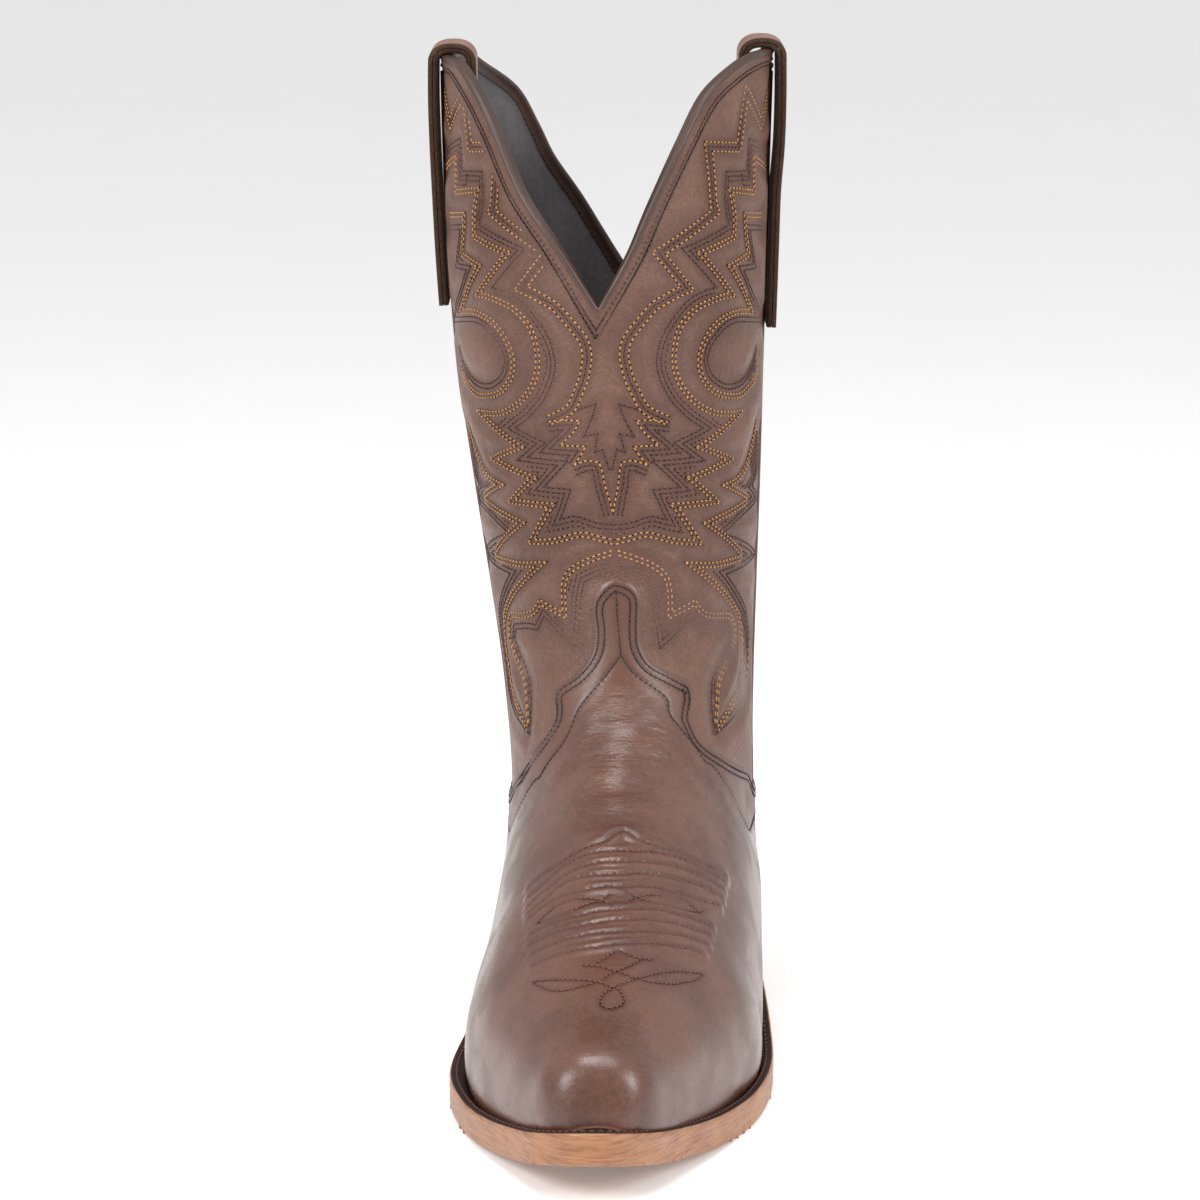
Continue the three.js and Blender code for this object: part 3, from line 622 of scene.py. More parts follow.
def thread_shape():
    """One stitch, modelled once: a rounded bar with its ends dipping into the leather."""
    clear_bench()
    bpy.ops.mesh.primitive_cylinder_add(vertices=6, radius=0.5, depth=0.56,
                                        end_fill_type="NGON", rotation=(0, math.pi / 2, 0))
    ob = take("stitch_pattern")
    bpy.ops.object.transform_apply(location=True, rotation=True, scale=True)
    bpy.ops.object.mode_set(mode="EDIT")
    bpy.ops.mesh.select_all(action="SELECT")
    bpy.ops.mesh.normals_make_consistent(inside=False)
    bpy.ops.object.mode_set(mode="OBJECT")
    bm = bmesh.new()
    bm.from_mesh(ob.data)
    caps = [f for f in bm.faces if abs(f.normal.x) > 0.9]
    for f in bmesh.ops.poke(bm, faces=caps)["verts"]:
        f.co.x = 0.5 if f.co.x > 0 else -0.5
        f.co.z = -0.45
    bmesh.ops.triangulate(bm, faces=bm.faces)
    bm.verts.ensure_lookup_table()
    co = np.array([v.co[:] for v in bm.verts])
    tris = np.array([[v.index for v in f.verts] for f in bm.faces])
    bm.free()
    mesh = ob.data
    bpy.data.objects.remove(ob)
    bpy.data.meshes.remove(mesh)
    return co, tris


def hole_shape():
    """One needle hole: a small flattened drop of dark, painted shade standing in for the hole in
    the leather.
    """
    clear_bench()
    bpy.ops.mesh.primitive_ico_sphere_add(subdivisions=1, radius=0.5)
    ob = take("needle_hole_pattern")
    co = coordinates(ob)
    tris = np.array([p.vertices[:] for p in ob.data.polygons])
    mesh = ob.data
    bpy.data.objects.remove(ob)
    bpy.data.meshes.remove(mesh)
    return co, tris


_PATTERNS = {}


def pattern(kind):
    if kind not in _PATTERNS:
        _PATTERNS[kind] = thread_shape() if kind == "stitch" else hole_shape()
    return _PATTERNS[kind]


def repeated(name, kind, middles, along, up, size, finish):
    """Copies of a modelled stitch or hole, set along a line and joined into one piece."""
    co, tris = pattern(kind)
    size = np.broadcast_to(np.asarray(size, float), (len(middles), 3))
    along = along / np.maximum(np.linalg.norm(along, axis=1, keepdims=True), 1e-9)
    across = unit(np.cross(up, along))
    up = np.cross(along, across)
    p = co[None] * size[:, None, :]
    spots = (middles[:, None] + p[..., :1] * along[:, None] + p[..., 1:2] * across[:, None]
             + p[..., 2:] * up[:, None]).reshape(-1, 3)
    faces = (tris[None] + (np.arange(len(middles)) * len(co))[:, None, None]).reshape(-1, 3)
    mesh = bpy.data.meshes.new(name)
    mesh.vertices.add(len(spots))
    mesh.vertices.foreach_set("co", (spots * MM).astype(np.float32).ravel())
    mesh.loops.add(faces.size)
    mesh.loops.foreach_set("vertex_index", faces.astype(np.int32).ravel())
    mesh.polygons.add(len(faces))
    mesh.polygons.foreach_set("loop_start", (np.arange(len(faces)) * 3).astype(np.int32))
    mesh.polygons.foreach_set("use_smooth", np.ones(len(faces), bool))
    mesh.update(calc_edges=True)
    mesh.validate()
    ob = bpy.data.objects.new(name, mesh)
    bpy.context.scene.collection.objects.link(ob)
    return deliver(ob, finish=finish)


def sew(name, lines, surface, pitch, thread, width=0.58, sink=0.1, holes=True,
        fill=0.66):
    """Stitches along lines. surface(line points) gives spots and normals in mm.
    Returns the stitch middles."""
    starts, ends = lines if isinstance(lines, tuple) else stitch_points(lines, pitch)
    if not len(starts):
        return np.zeros((0, 3))
    a, na = surface(starts)
    b, nb = surface(ends)
    n = unit(na + nb)
    length = np.linalg.norm(b - a, axis=1)
    repeated(name, "stitch", (a + b) / 2 + n * sink, b - a, n,
             np.stack([length * fill, np.full(len(a), width), np.full(len(a), width * 0.8)], 1),
             thread)
    if holes:
        # dark drops painted as the shade inside each needle hole
        spots = np.vstack([a, b])
        ups = np.vstack([na, nb])
        ways = np.vstack([b - a, b - a])
        keys = np.unique(np.rint(spots * 5).astype(int), axis=0, return_index=True)[1]
        repeated(name + "_holes", "hole", spots[keys], ways[keys], ups[keys],
                 (width * 1.25, width * 1.05, 0.3), MATERIALS["needle_hole_shade"])
    return (a + b) / 2


MATERIALS = {}


# ---- materials --------------------------------------------------------------------
def link(tree, source, target):
    tree.links.new(source, target)


def add(tree, kind, **settings):
    node = tree.nodes.new(kind)
    for key, value in settings.items():
        if key.startswith("in_"):
            spot = key[3:]
            spot = int(spot) if spot.isdigit() else spot.replace("_", " ")
            node.inputs[spot].default_value = value
        else:
            setattr(node, key, value)
    return node


def group(name, sockets, results):
    """An empty shared node group with named inputs and outputs."""
    tree = bpy.data.node_groups.new(name, "ShaderNodeTree")
    kinds = {"f": "NodeSocketFloat", "c": "NodeSocketColor", "v": "NodeSocketVector"}
    for label, kind, value in sockets:
        socket = tree.interface.new_socket(label, in_out="INPUT", socket_type=kinds[kind])
        if value is not None:
            socket.default_value = value
    for label, kind in results:
        tree.interface.new_socket(label, in_out="OUTPUT", socket_type=kinds[kind])
    start, end = add(tree, "NodeGroupInput"), add(tree, "NodeGroupOutput")
    return tree, start, end


def mapped(tree, value, low, high, to_low=0.0, to_high=1.0):
    node = add(tree, "ShaderNodeMapRange", interpolation_type="SMOOTHSTEP")
    for spot, number in (("From Min", low), ("From Max", high), ("To Min", to_low),
                         ("To Max", to_high)):
        node.inputs[spot].default_value = number
    link(tree, value, node.inputs["Value"])
    return node.outputs["Result"]


def blended(tree, factor, first, second, way="MIX"):
    node = add(tree, "ShaderNodeMix", data_type="RGBA", blend_type=way)
    for spot, value in ((0, factor), (6, first), (7, second)):
        if hasattr(value, "is_output"):
            link(tree, value, node.inputs[spot])
        else:
            node.inputs[spot].default_value = value
    return node.outputs[2]


def sums(tree, way, first, second):
    node = add(tree, "ShaderNodeMath", operation=way)
    for spot, value in ((0, first), (1, second)):
        if hasattr(value, "is_output"):
            link(tree, value, node.inputs[spot])
        else:
            node.inputs[spot].default_value = value
    return node.outputs[0]


def shared_groups():
    made = {}
    # hide: colour mottling and pebbled grain of tanned leather
    tree, start, end = group(
        "hide", [("Place", "v", None), ("Colour", "c", (.2, .1, .08, 1)),
                 ("Deep", "c", (.1, .05, .04, 1)), ("Light", "c", (.3, .2, .15, 1)),
                 ("Grain", "f", 1.0), ("Mottle", "f", 1.0)],
        [("Colour", "c"), ("Height", "f"), ("Cloud", "f")])
    mm = add(tree, "ShaderNodeVectorMath", operation="SCALE")
    mm.inputs["Scale"].default_value = 1000
    link(tree, start.outputs["Place"], mm.inputs[0])
    pebble = add(tree, "ShaderNodeTexVoronoi", feature="SMOOTH_F1", in_Scale=1.15,
                 in_Smoothness=0.35)
    fine = add(tree, "ShaderNodeTexNoise", in_Scale=2.1, in_Detail=3.0, in_Roughness=0.6)
    cloud = add(tree, "ShaderNodeTexNoise", in_Scale=0.045, in_Detail=4.0, in_Roughness=0.55)
    speck = add(tree, "ShaderNodeTexNoise", in_Scale=0.55, in_Detail=4.0, in_Roughness=0.7)
    for n in (pebble, fine, cloud, speck):
        link(tree, mm.outputs[0], n.inputs["Vector"])
    soft = mapped(tree, cloud.outputs["Fac"], 0.36, 0.64)
    dots = mapped(tree, speck.outputs["Fac"], 0.35, 0.68)
    base = blended(tree, sums(tree, "MULTIPLY", soft, start.outputs["Mottle"]),
                   start.outputs["Colour"], start.outputs["Deep"])
    pale = sums(tree, "MULTIPLY", dots, sums(tree, "MULTIPLY", start.outputs["Mottle"], 0.35))
    link(tree, blended(tree, pale, base, start.outputs["Light"]), end.inputs["Colour"])
    grain = sums(tree, "ADD", sums(tree, "MULTIPLY", pebble.outputs["Distance"], 0.7),
                 sums(tree, "MULTIPLY", fine.outputs["Fac"], 0.5))
    link(tree, sums(tree, "MULTIPLY", grain, start.outputs["Grain"]), end.inputs["Height"])
    link(tree, soft, end.inputs["Cloud"])
    made["hide"] = tree
    # layers: pressed layers and streaks of a cut leather edge
    tree, start, end = group(
        "cut_layers", [("Place", "v", None), ("Pitch", "f", 1.2), ("Streak", "f", 1.0)],
        [("Streaks", "f"), ("Height", "f"), ("Patches", "f")])
    mm = add(tree, "ShaderNodeVectorMath", operation="MULTIPLY", in_1=(90, 90, 1700))
    link(tree, start.outputs["Place"], mm.inputs[0])
    thin = add(tree, "ShaderNodeTexNoise", in_Scale=1.0, in_Detail=4.0, in_Roughness=0.65)
    link(tree, mm.outputs[0], thin.inputs["Vector"])
    wide = add(tree, "ShaderNodeTexNoise", in_Scale=55.0, in_Detail=3.0, in_Roughness=0.6)
    link(tree, start.outputs["Place"], wide.inputs["Vector"])
    fibre = add(tree, "ShaderNodeTexNoise", in_Scale=900.0, in_Detail=3.0)
    link(tree, start.outputs["Place"], fibre.inputs["Vector"])
    lines = mapped(tree, thin.outputs["Fac"], 0.38, 0.66)
    link(tree, sums(tree, "MULTIPLY", lines, start.outputs["Streak"]), end.inputs["Streaks"])
    link(tree, sums(tree, "ADD", sums(tree, "MULTIPLY", lines, 0.5), fibre.outputs["Fac"]),
         end.inputs["Height"])
    link(tree, mapped(tree, wide.outputs["Fac"], 0.4, 0.66), end.inputs["Patches"])
    made["cut_layers"] = tree
    # fleck: small uneven colour for thread, fabric, cork and metal
    tree, start, end = group(
        "fleck", [("Place", "v", None), ("Size", "f", 1.0), ("Colour", "c", (.2, .2, .2, 1)),
                  ("Other", "c", (.1, .1, .1, 1))],
        [("Colour", "c"), ("Height", "f")])
    mm = add(tree, "ShaderNodeVectorMath", operation="SCALE")
    mm.inputs["Scale"].default_value = 1000
    link(tree, start.outputs["Place"], mm.inputs[0])
    dust = add(tree, "ShaderNodeTexNoise", in_Detail=3.0, in_Roughness=0.6)
    link(tree, mm.outputs[0], dust.inputs["Vector"])
    link(tree, start.outputs["Size"], dust.inputs["Scale"])
    link(tree, blended(tree, mapped(tree, dust.outputs["Fac"], 0.36, 0.64),
                       start.outputs["Colour"], start.outputs["Other"]), end.inputs["Colour"])
    link(tree, dust.outputs["Fac"], end.inputs["Height"])
    made["fleck"] = tree
    # creases: long shallow folds where leather bends
    tree, start, end = group(
        "creases", [("Place", "v", None), ("Size", "f", 1.0)], [("Height", "f"), ("Fold", "f")])
    stretch = add(tree, "ShaderNodeVectorMath", operation="MULTIPLY", in_1=(60, 190, 260))
    link(tree, start.outputs["Place"], stretch.inputs[0])
    folds = add(tree, "ShaderNodeTexNoise", in_Detail=5.0, in_Roughness=0.55, in_Distortion=0.8)
    link(tree, stretch.outputs[0], folds.inputs["Vector"])
    link(tree, start.outputs["Size"], folds.inputs["Scale"])
    link(tree, folds.outputs["Fac"], end.inputs["Height"])
    link(tree, mapped(tree, folds.outputs["Fac"], 0.42, 0.6), end.inputs["Fold"])
    made["creases"] = tree
    return made


GROUPS = {}


def rgb(text):
    """An sRGB hex colour as linear RGBA."""
    values = [int(text[i:i + 2], 16) / 255 for i in (0, 2, 4)]
    return (*[v / 12.92 if v <= 0.04045 else ((v + 0.055) / 1.055) ** 2.4 for v in values], 1.0)


def blank(name, roughness, metallic=0.0, specular=0.5, coat=0.0, coat_roughness=0.2,
          sheen=0.0, sheen_tint=(1, 1, 1, 1)):
    mat = bpy.data.materials.new(name)
    mat.use_nodes = True
    tree = mat.node_tree
    shader = tree.nodes["Principled BSDF"]
    shader.inputs["Roughness"].default_value = roughness
    shader.inputs["Metallic"].default_value = metallic
    shader.inputs["Specular IOR Level"].default_value = specular
    shader.inputs["Coat Weight"].default_value = coat
    shader.inputs["Coat Roughness"].default_value = coat_roughness
    shader.inputs["Sheen Weight"].default_value = sheen
    shader.inputs["Sheen Roughness"].default_value = 0.45
    shader.inputs["Sheen Tint"].default_value = sheen_tint
    place = add(tree, "ShaderNodeTexCoord").outputs["Object"]
    MATERIALS[name] = mat
    return mat, tree, shader, place


def use(tree, name, place, **values):
    node = add(tree, "ShaderNodeGroup", node_tree=GROUPS[name])
    link(tree, place, node.inputs["Place"])
    for key, value in values.items():
        node.inputs[key].default_value = value
    return node


def bumped(tree, shader, height, depth, strength=1.0, under=None):
    bump = add(tree, "ShaderNodeBump", in_Strength=strength, in_Distance=depth * MM)
    link(tree, height, bump.inputs["Height"])
    if under is not None:
        link(tree, under, bump.inputs["Normal"])
    link(tree, bump.outputs[0], shader.inputs["Normal"])
    return bump.outputs[0]


def attribute(tree, name):
    return add(tree, "ShaderNodeAttribute", attribute_name=name).outputs["Fac"]


def leather(name, colour, deep, light, roughness=0.45, grain=1.0, depth=0.06, mottle=0.5,
            rough_spread=0.12, **more):
    mat, tree, shader, place = blank(name, roughness, **more)
    hide = use(tree, "hide", place, Colour=rgb(colour), Deep=rgb(deep), Light=rgb(light),
               Grain=grain, Mottle=mottle)
    link(tree, hide.outputs["Colour"], shader.inputs["Base Color"])
    link(tree, mapped(tree, hide.outputs["Cloud"], 0, 1, roughness - rough_spread / 2,
                      roughness + rough_spread / 2), shader.inputs["Roughness"])
    bumped(tree, shader, hide.outputs["Height"], depth)
    return mat, tree, shader, place, hide


def flecked(name, colour, other, size, roughness, depth=0.05, **more):
    mat, tree, shader, place = blank(name, roughness, **more)
    fleck = use(tree, "fleck", place, Size=size, Colour=rgb(colour), Other=rgb(other))
    link(tree, fleck.outputs["Colour"], shader.inputs["Base Color"])
    bumped(tree, shader, fleck.outputs["Height"], depth)
    return mat


def cut_edge(name, colour, streak, patch, roughness, depth=0.12, amount=1.0, **more):
    mat, tree, shader, place = blank(name, roughness, **more)
    cut = use(tree, "cut_layers", place, Streak=amount)
    first = blended(tree, cut.outputs["Streaks"], rgb(colour), rgb(streak))
    link(tree, blended(tree, sums(tree, "MULTIPLY", cut.outputs["Patches"], 0.55), first,
                       rgb(patch)), shader.inputs["Base Color"])
    bumped(tree, shader, cut.outputs["Height"], depth)
    return mat


def make_materials(shaft, vamp):
    GROUPS.update(shared_groups())
    # shaft hide: matt, dulled and darkened near the stitch rows as painted shade in their
    # grooves, lighter on the raised leather between them as a painted highlight
    _, tree, shader, place, hide = leather(
        "shaft_hide", shaft, "45291f", "835b48", roughness=0.43, grain=1.4, depth=0.24,
        mottle=0.6, specular=0.45, sheen=0.12, sheen_tint=rgb("d9b8a8"))
    # painted shade: the leather darkens towards 482b21 near the stitches, where their grooves
    # sink
    stitch_shade_mask = attribute(tree, "sew")
    tone = blended(tree, sums(tree, "MULTIPLY", stitch_shade_mask, 0.4), hide.outputs["Colour"],
                   rgb("482b21"))
    # painted highlight: lighter towards 86604f on the raised leather between the stitch rows
    tone = blended(tree, sums(tree, "MULTIPLY", attribute(tree, "rise"), 0.12), tone,
                   rgb("86604f"))
    link(tree, tone, shader.inputs["Base Color"])
    # vamp hide: dressed smoother and darker than the shaft, its top band left matt
    _, tree, shader, place, hide = leather(
        "vamp_hide", vamp, "432820", "7a5343", roughness=0.28, grain=1.1, depth=0.13,
        mottle=0.7, specular=0.5, coat=0.12, coat_roughness=0.3)
    band = attribute(tree, "band")
    tone = blended(tree, sums(tree, "MULTIPLY", band, 0.75), hide.outputs["Colour"],
                   rgb(shaft))
    # painted shade: darker towards 422820 in the grooves near the cords and stitch rows
    tone = blended(tree, sums(tree, "MULTIPLY", attribute(tree, "sew"), 0.45), tone,
                   rgb("422820"))
    link(tree, tone, shader.inputs["Base Color"])
    link(tree, sums(tree, "ADD", sums(tree, "MULTIPLY", band, 0.14),
                    mapped(tree, hide.outputs["Cloud"], 0, 1, 0.25, 0.36)),
         shader.inputs["Roughness"])
    fold = use(tree, "creases", place, Size=1.0)
    first = add(tree, "ShaderNodeBump", in_Distance=1.0 * MM)
    link(tree, sums(tree, "MULTIPLY", fold.outputs["Height"], attribute(tree, "flex")),
         first.inputs["Height"])
    bumped(tree, shader, hide.outputs["Height"], 0.05, under=first.outputs[0])
    leather("binding_lip", "40291f", "2a1a14", "5c4134", roughness=0.42, grain=0.3, depth=0.03,
            mottle=0.5, coat=0.1, coat_roughness=0.3)
    leather("piping_hide", "57392f", "3a241e", "7c5a4b", roughness=0.42, grain=0.5, depth=0.05)
    # black leather lining, its base colour lifted from near black to grey as a painted sheen
    leather("black_lining", "5a5758", "393738", "7a7778", roughness=0.4, grain=0.6,
            depth=0.05, mottle=0.6, specular=0.45)
    leather("foot_lining_hide", "a98a68", "8a6c4c", "c8ad8c", roughness=0.75, grain=1.0,
            depth=0.06)
    leather("strap_face", "7a5647", "573b30", "9c7868", roughness=0.5, grain=0.9, depth=0.07,
            sheen=0.15, sheen_tint=rgb("e0c4b6"))
    flecked("strap_suede", "49352a", "2c1f18", 1.7, 0.95, depth=0.3, specular=0.15,
            sheen=0.3, sheen_tint=rgb("9a8070"))
    flecked("gold_thread", "c58c4b", "8f6130", 2.5, 0.5, depth=0.06, specular=0.5,
            sheen=0.2, sheen_tint=rgb("f0d0a0"))
    flecked("rust_thread", "75463a", "512e25", 2.5, 0.55, depth=0.06)
    flecked("black_thread", "35221d", "1f1310", 2.5, 0.55, depth=0.06)
    flecked("plum_thread", "553129", "361c18", 2.5, 0.5, depth=0.06)
    flecked("cherry_thread", "7c443a", "4c2622", 2.5, 0.5, depth=0.06)
    # needle holes: near-black drops, painted shade of the holes
    flecked("needle_hole_shade", "160d0b", "0c0706", 2.0, 0.9, depth=0.02, specular=0.1)
    cut_edge("sole_leather", "9e7153", "7d4826", "a9723f", 0.46, depth=0.1, coat=0.15,
             coat_roughness=0.3)
    leather("welt_hide", "2b1b15", "1d120e", "4a3328", roughness=0.7, specular=0.25,
            grain=1.6, depth=0.15)
    cut_edge("heel_leather", "9a6f4c", "6d482e", "b48660", 0.5, depth=0.12, coat=0.1)
    flecked("heel_rubber", "2b2521", "1c1815", 0.7, 0.75, depth=0.12)
    flecked("brass", "b9974f", "94753a", 3.0, 0.32, depth=0.02, metallic=1.0)
    flecked("shank_steel", "8d9094", "6f7276", 0.6, 0.34, depth=0.02, metallic=1.0)
    flecked("cork", "b98b5a", "6f4a28", 0.55, 0.95, depth=0.4)
    flecked("peg_wood", "d9bd8c", "b58f5a", 1.2, 0.7, depth=0.05)
    flecked("pressed_board", "b89066", "9a744c", 0.8, 0.85, depth=0.08)
    flecked("sock_felt", "7d6a58", "65543f", 1.6, 0.9, depth=0.15, sheen=0.3)
    flecked("canvas", "a98a68", "8b6e4f", 1.4, 0.9, depth=0.12)
    flecked("stiff_board", "8f7a5e", "6f5c43", 0.9, 0.85, depth=0.1)


# ---- surfaces that the stitching lies on ----------------------------------------
def project(points, v, a, rounds=6):
    """Form coordinates nearest to points, found from a start nearby."""
    v, a = np.array(v, float), np.array(a, float)
    for _ in range(rounds):
        here = form_point(v, a)
        jv = (form_point(v + 0.01, a) - form_point(v - 0.01, a)) / 0.02
        ja = (form_point(v, a + 0.01) - form_point(v, a - 0.01)) / 0.02
        r = points - here
        vv, aa, va = (jv * jv).sum(-1), (ja * ja).sum(-1), (jv * ja).sum(-1)
        rv, ra = (jv * r).sum(-1), (ja * r).sum(-1)
        det = np.maximum(vv * aa - va * va, 1e-9)
        v += np.clip((rv * aa - ra * va) / det, -0.6, 0.6)
        a += np.clip((ra * vv - rv * va) / det, -0.25, 0.25)
        v = np.clip(v, 0.0, LAST + 0.9)
    return v, a


def meet(axes, targets, v, a, rounds=40):
    """Form coordinates where two of the point's coordinates reach their targets."""
    v, a = np.array(v, float), np.array(a, float)
    for _ in range(rounds):
        here = form_point(v, a)[..., axes]
        jv = (form_point(v + 0.01, a) - form_point(v - 0.01, a))[..., axes] / 0.02
        ja = (form_point(v, a + 0.01) - form_point(v, a - 0.01))[..., axes] / 0.02
        r = targets - here
        det = jv[..., 0] * ja[..., 1] - jv[..., 1] * ja[..., 0]
        det = np.where(np.abs(det) < 1, np.sign(det + 1e-9), det)
        v += np.clip((r[..., 0] * ja[..., 1] - r[..., 1] * ja[..., 0]) / det, -0.3, 0.3)
        a += np.clip((jv[..., 0] * r[..., 1] - jv[..., 1] * r[..., 0]) / det, -0.1, 0.1)
        v = np.clip(v, 0.0, LAST)
    return v, a


def lowered(line, distance):
    out = []
    for i, (x, z) in enumerate(line):
        ax, az = line[max(i - 1, 0)]
        bx, bz = line[min(i + 1, len(line) - 1)]
        run = Vector((bx - ax, bz - az)).normalized()
        first, second = Vector((x - ax, z - az)), Vector((bx - x, bz - z))
        half = 1.0
        if first.length and second.length:
            half = math.cos(first.angle(second) / 2)
        out.append((x + run.y * distance / half, z - run.x * distance / half))
    return out


def rounded_line(line, corner=55):
    """A plane outline smoothed through its gentle bends, as a list of points."""
    runs = soften(line, step=1.0, corner=corner)
    points = [runs[0]] + [r[1:] for r in runs[1:]]
    return [tuple(p) for p in np.vstack(points)]


FRONT_EDGE = rounded_line(FRONT_COLLAR)
BACK_EDGE = rounded_line(BACK_COLLAR)
VAMP_EDGE = rounded_line(VAMP_TOP, corner=30)


def collar_row(front, drop, count=420):
    """Form coordinates of a line running a drop below the collar, inner ear to outer."""
    line = lowered(FRONT_COLLAR if front else BACK_COLLAR, drop)
    line = rounded_line(line)
    reach = 1.66 if front else 1.72
    low = next(p for p in line if p[1] == min(q[1] for q in line))
    tip = meet([0, 2], np.array([low]), [2.3], [0.0 if front else math.pi])
    centre = float(tip[1][0])
    middle = 0.0 if front else math.pi
    angles = np.unique(np.r_[np.linspace(middle - reach, middle + reach, count), centre])
    lo, hi = np.full(angles.shape, -0.3), np.full(angles.shape, 4.5)
    def outside(mid):
        q = form_point(mid, angles)
        return beneath(line, q[:, 0], q[:, 2]) < 0

    lo, hi = halved(lo, hi, outside)
    v = (lo + hi) / 2
    p = form_point(v, angles)
    edge = seam_y(p[:, 2])
    keep = (p[:, 1] < edge - 0.2) if front else (p[:, 1] > edge + 0.2)
    return v[keep], angles[keep], int(np.argmin(np.abs(angles[keep] - centre)))


def resampled(points, pitch):
    run = run_along(points)
    n = max(2, int(round(run[-1] / pitch)) + 1)
    at = np.linspace(0, run[-1], n)
    return np.stack([np.interp(at, run, points[:, k]) for k in range(points.shape[1])], 1)


def row_of(v, a, pitch):
    """Stitches along form coordinates: starts and ends as (v, angle) pairs."""
    p = form_point(v, a)
    run = run_along(p)
    n = max(2, int(round(run[-1] / pitch)) + 1)
    at = np.linspace(0, run[-1], n)
    q = np.stack([np.interp(at, run, v), np.interp(at, run, a)], 1)
    return q[:-1], q[1:]


def joined(*rows):
    return np.vstack([r[0] for r in rows]), np.vstack([r[1] for r in rows])


def shifted(v, a, distance):
    """A line on the form moved sideways, to the left of its way seen from outside."""
    p, n = form_point(v, a), form_normal(v, a)
    t = unit(np.gradient(p, axis=0))
    side = unit(np.cross(n, t))
    return project(p + side * distance, v, a)


def lay(offset):
    """Surface for sewing whose lines are form coordinates."""
    def surface(q):
        p, n = form_point(q[:, 0], q[:, 1]), form_normal(q[:, 0], q[:, 1])
        return p + n * offset, n
    return surface


def gaps(tree, spots, wanted):
    """Distance from each wanted spot to the nearest point of a tree, 99 elsewhere."""
    out = np.full(spots.shape[:-1], 99.0)
    out[wanted] = [tree.find(q)[2] for q in spots[wanted]]
    return out


# ---- shaft pattern -----------------------------------------------------------------
def mirror(runs):
    return [r * np.array([-1, 1]) for r in runs]


def inside_runs(runs, loop, margin, also=None):
    """The parts of drawn runs that lie inside a closed outline."""
    kept = []
    for run in runs:
        good = signed(loop, run[:, 0], run[:, 1]) > margin
        if also is not None:
            good &= also
        kept += [run[i:k] for i, k in spans(good, 7)]
    return kept


def inner_side(runs, loop):
    """+1 if the inside of an outline lies to the left of a drawn edge of it, else -1."""
    middle = np.vstack(runs)
    votes = 0
    for k in range(10, len(middle) - 10, 25):
        way = middle[k + 1] - middle[k - 1]
        left = np.array([-way[1], way[0]]) / max(np.linalg.norm(way), 1e-9)
        q = middle[k] + left * 1.2
        votes += 1 if signed(loop, q[:1], q[1:])[0] > 0 else -1
    return 1 if votes > 0 else -1


def shaft_rows():
    """The stitched pattern of one shaft panel as {thread: [runs]}, in (s, height)."""
    rows = {"gold": [], "rust": [], "black": []}
    sweep = soften(SWEEP)
    rows["black"] += beside(sweep, 0.02)
    rows["gold"] += beside(sweep, -1.6) + beside(sweep, 1.6)
    for dark, light in BANDS:
        edge, rim = soften(dark), soften(light)
        loop = np.vstack([*edge, *[r[::-1] for r in rim[::-1]]])
        loop = loop[::3]
        rim_all = np.vstack(rim)[::2]
        tree = tree_of(rim_all)
        rows["black"] += edge
        rows["gold"] += rim
        rim_side = beside(rim, 1.5 * inner_side(rim, loop))
        rows["gold"] += inside_runs(rim_side, loop, -0.1)
        side = inner_side(edge, loop)
        for step in range(1, 12):
            distance = 1.65 * step
            kept = []
            for run in beside(edge, side * distance):
                far = np.array([tree.find((x, y, 0))[2] > 2.9 for x, y in run])
                kept += inside_runs([run], loop, -0.05, far)
            rows["black" if step == 1 else "rust"] += kept
    rows["gold"] += soften(FLAME)
    rows["black"] += soften(FLAME_CORE)
    core = soften(FLAME)
    for step in (1, 2):
        for run in beside(core, -1.65 * step):
            rows["black"].append(run[run[:, 0] > 0.4])
    rows["black"] += beside(soften(BULB), -1.7)
    whole = {}
    for thread, runs in rows.items():
        runs = [r for r in runs if len(r) > 5]
        runs = [r[(r[:, 0] < 97)] for r in runs]
        runs = [r for r in runs if len(r) > 5]
        whole[thread] = runs + mirror(runs)
    return whole


def shaft_panel(front, stitch_spots):
    """Level, shape and marks of a shaft panel skin."""
    edge = lowered(FRONT_COLLAR if front else BACK_COLLAR, 1.8)
    edge = rounded_line(edge)
    lower = [(y, z - 12) for y, z in COUNTER_TOP]
    tree = tree_of(stitch_spots)

    def level(v, a):
        p = form_point(v, a)
        x, y, z = np.moveaxis(p, -1, 0)
        seam = seam_y(z)
        if front:
            return np.minimum.reduce([beneath(edge, x, z), above(SHAFT_LOW, x, z),
                                      seam - 1.8 - y])
        low = signed([*lower, (200, 106), (200, 420), (-60, 420), (-60, 72)], y, z)
        return np.minimum.reduce([beneath(edge, x, z), low, y - seam - 1.8])

    cache = {}

    def fields(v, a):
        key = (v.shape, float(v.sum()))
        if key not in cache:
            p, n = form_point(v, a), form_normal(v, a)
            cache[key] = (p, n, gaps(tree, p, level(v, a) > -1.5))
        return cache[key]

    def shape(v, a):
        p, n, near = fields(v, a)
        y, z = p[..., 1], p[..., 2]
        x = p[..., 0]
        rise = -0.3 + 1.15 * step_in(1.1, 7.5, near)
        edge_gap = np.abs(y - seam_y(z))
        calm = step_in(2, 14, edge_gap) * step_in(1, 12, beneath(edge, x, z))
        wave = 0.35 * ripple(p, 5 if front else 9, 62)
        return p + n * (rise * calm - 0.05 + wave * calm)[..., None]

    def marks(v, a):
        _, _, near = fields(v, a)
        # sew masks painted shade near the stitch rows; rise masks a painted highlight on the
        # raised leather between them
        return {"sew": 1 - step_in(0.9, 3.6, near), "rise": step_in(2.5, 9, near)}

    return level, shape, marks


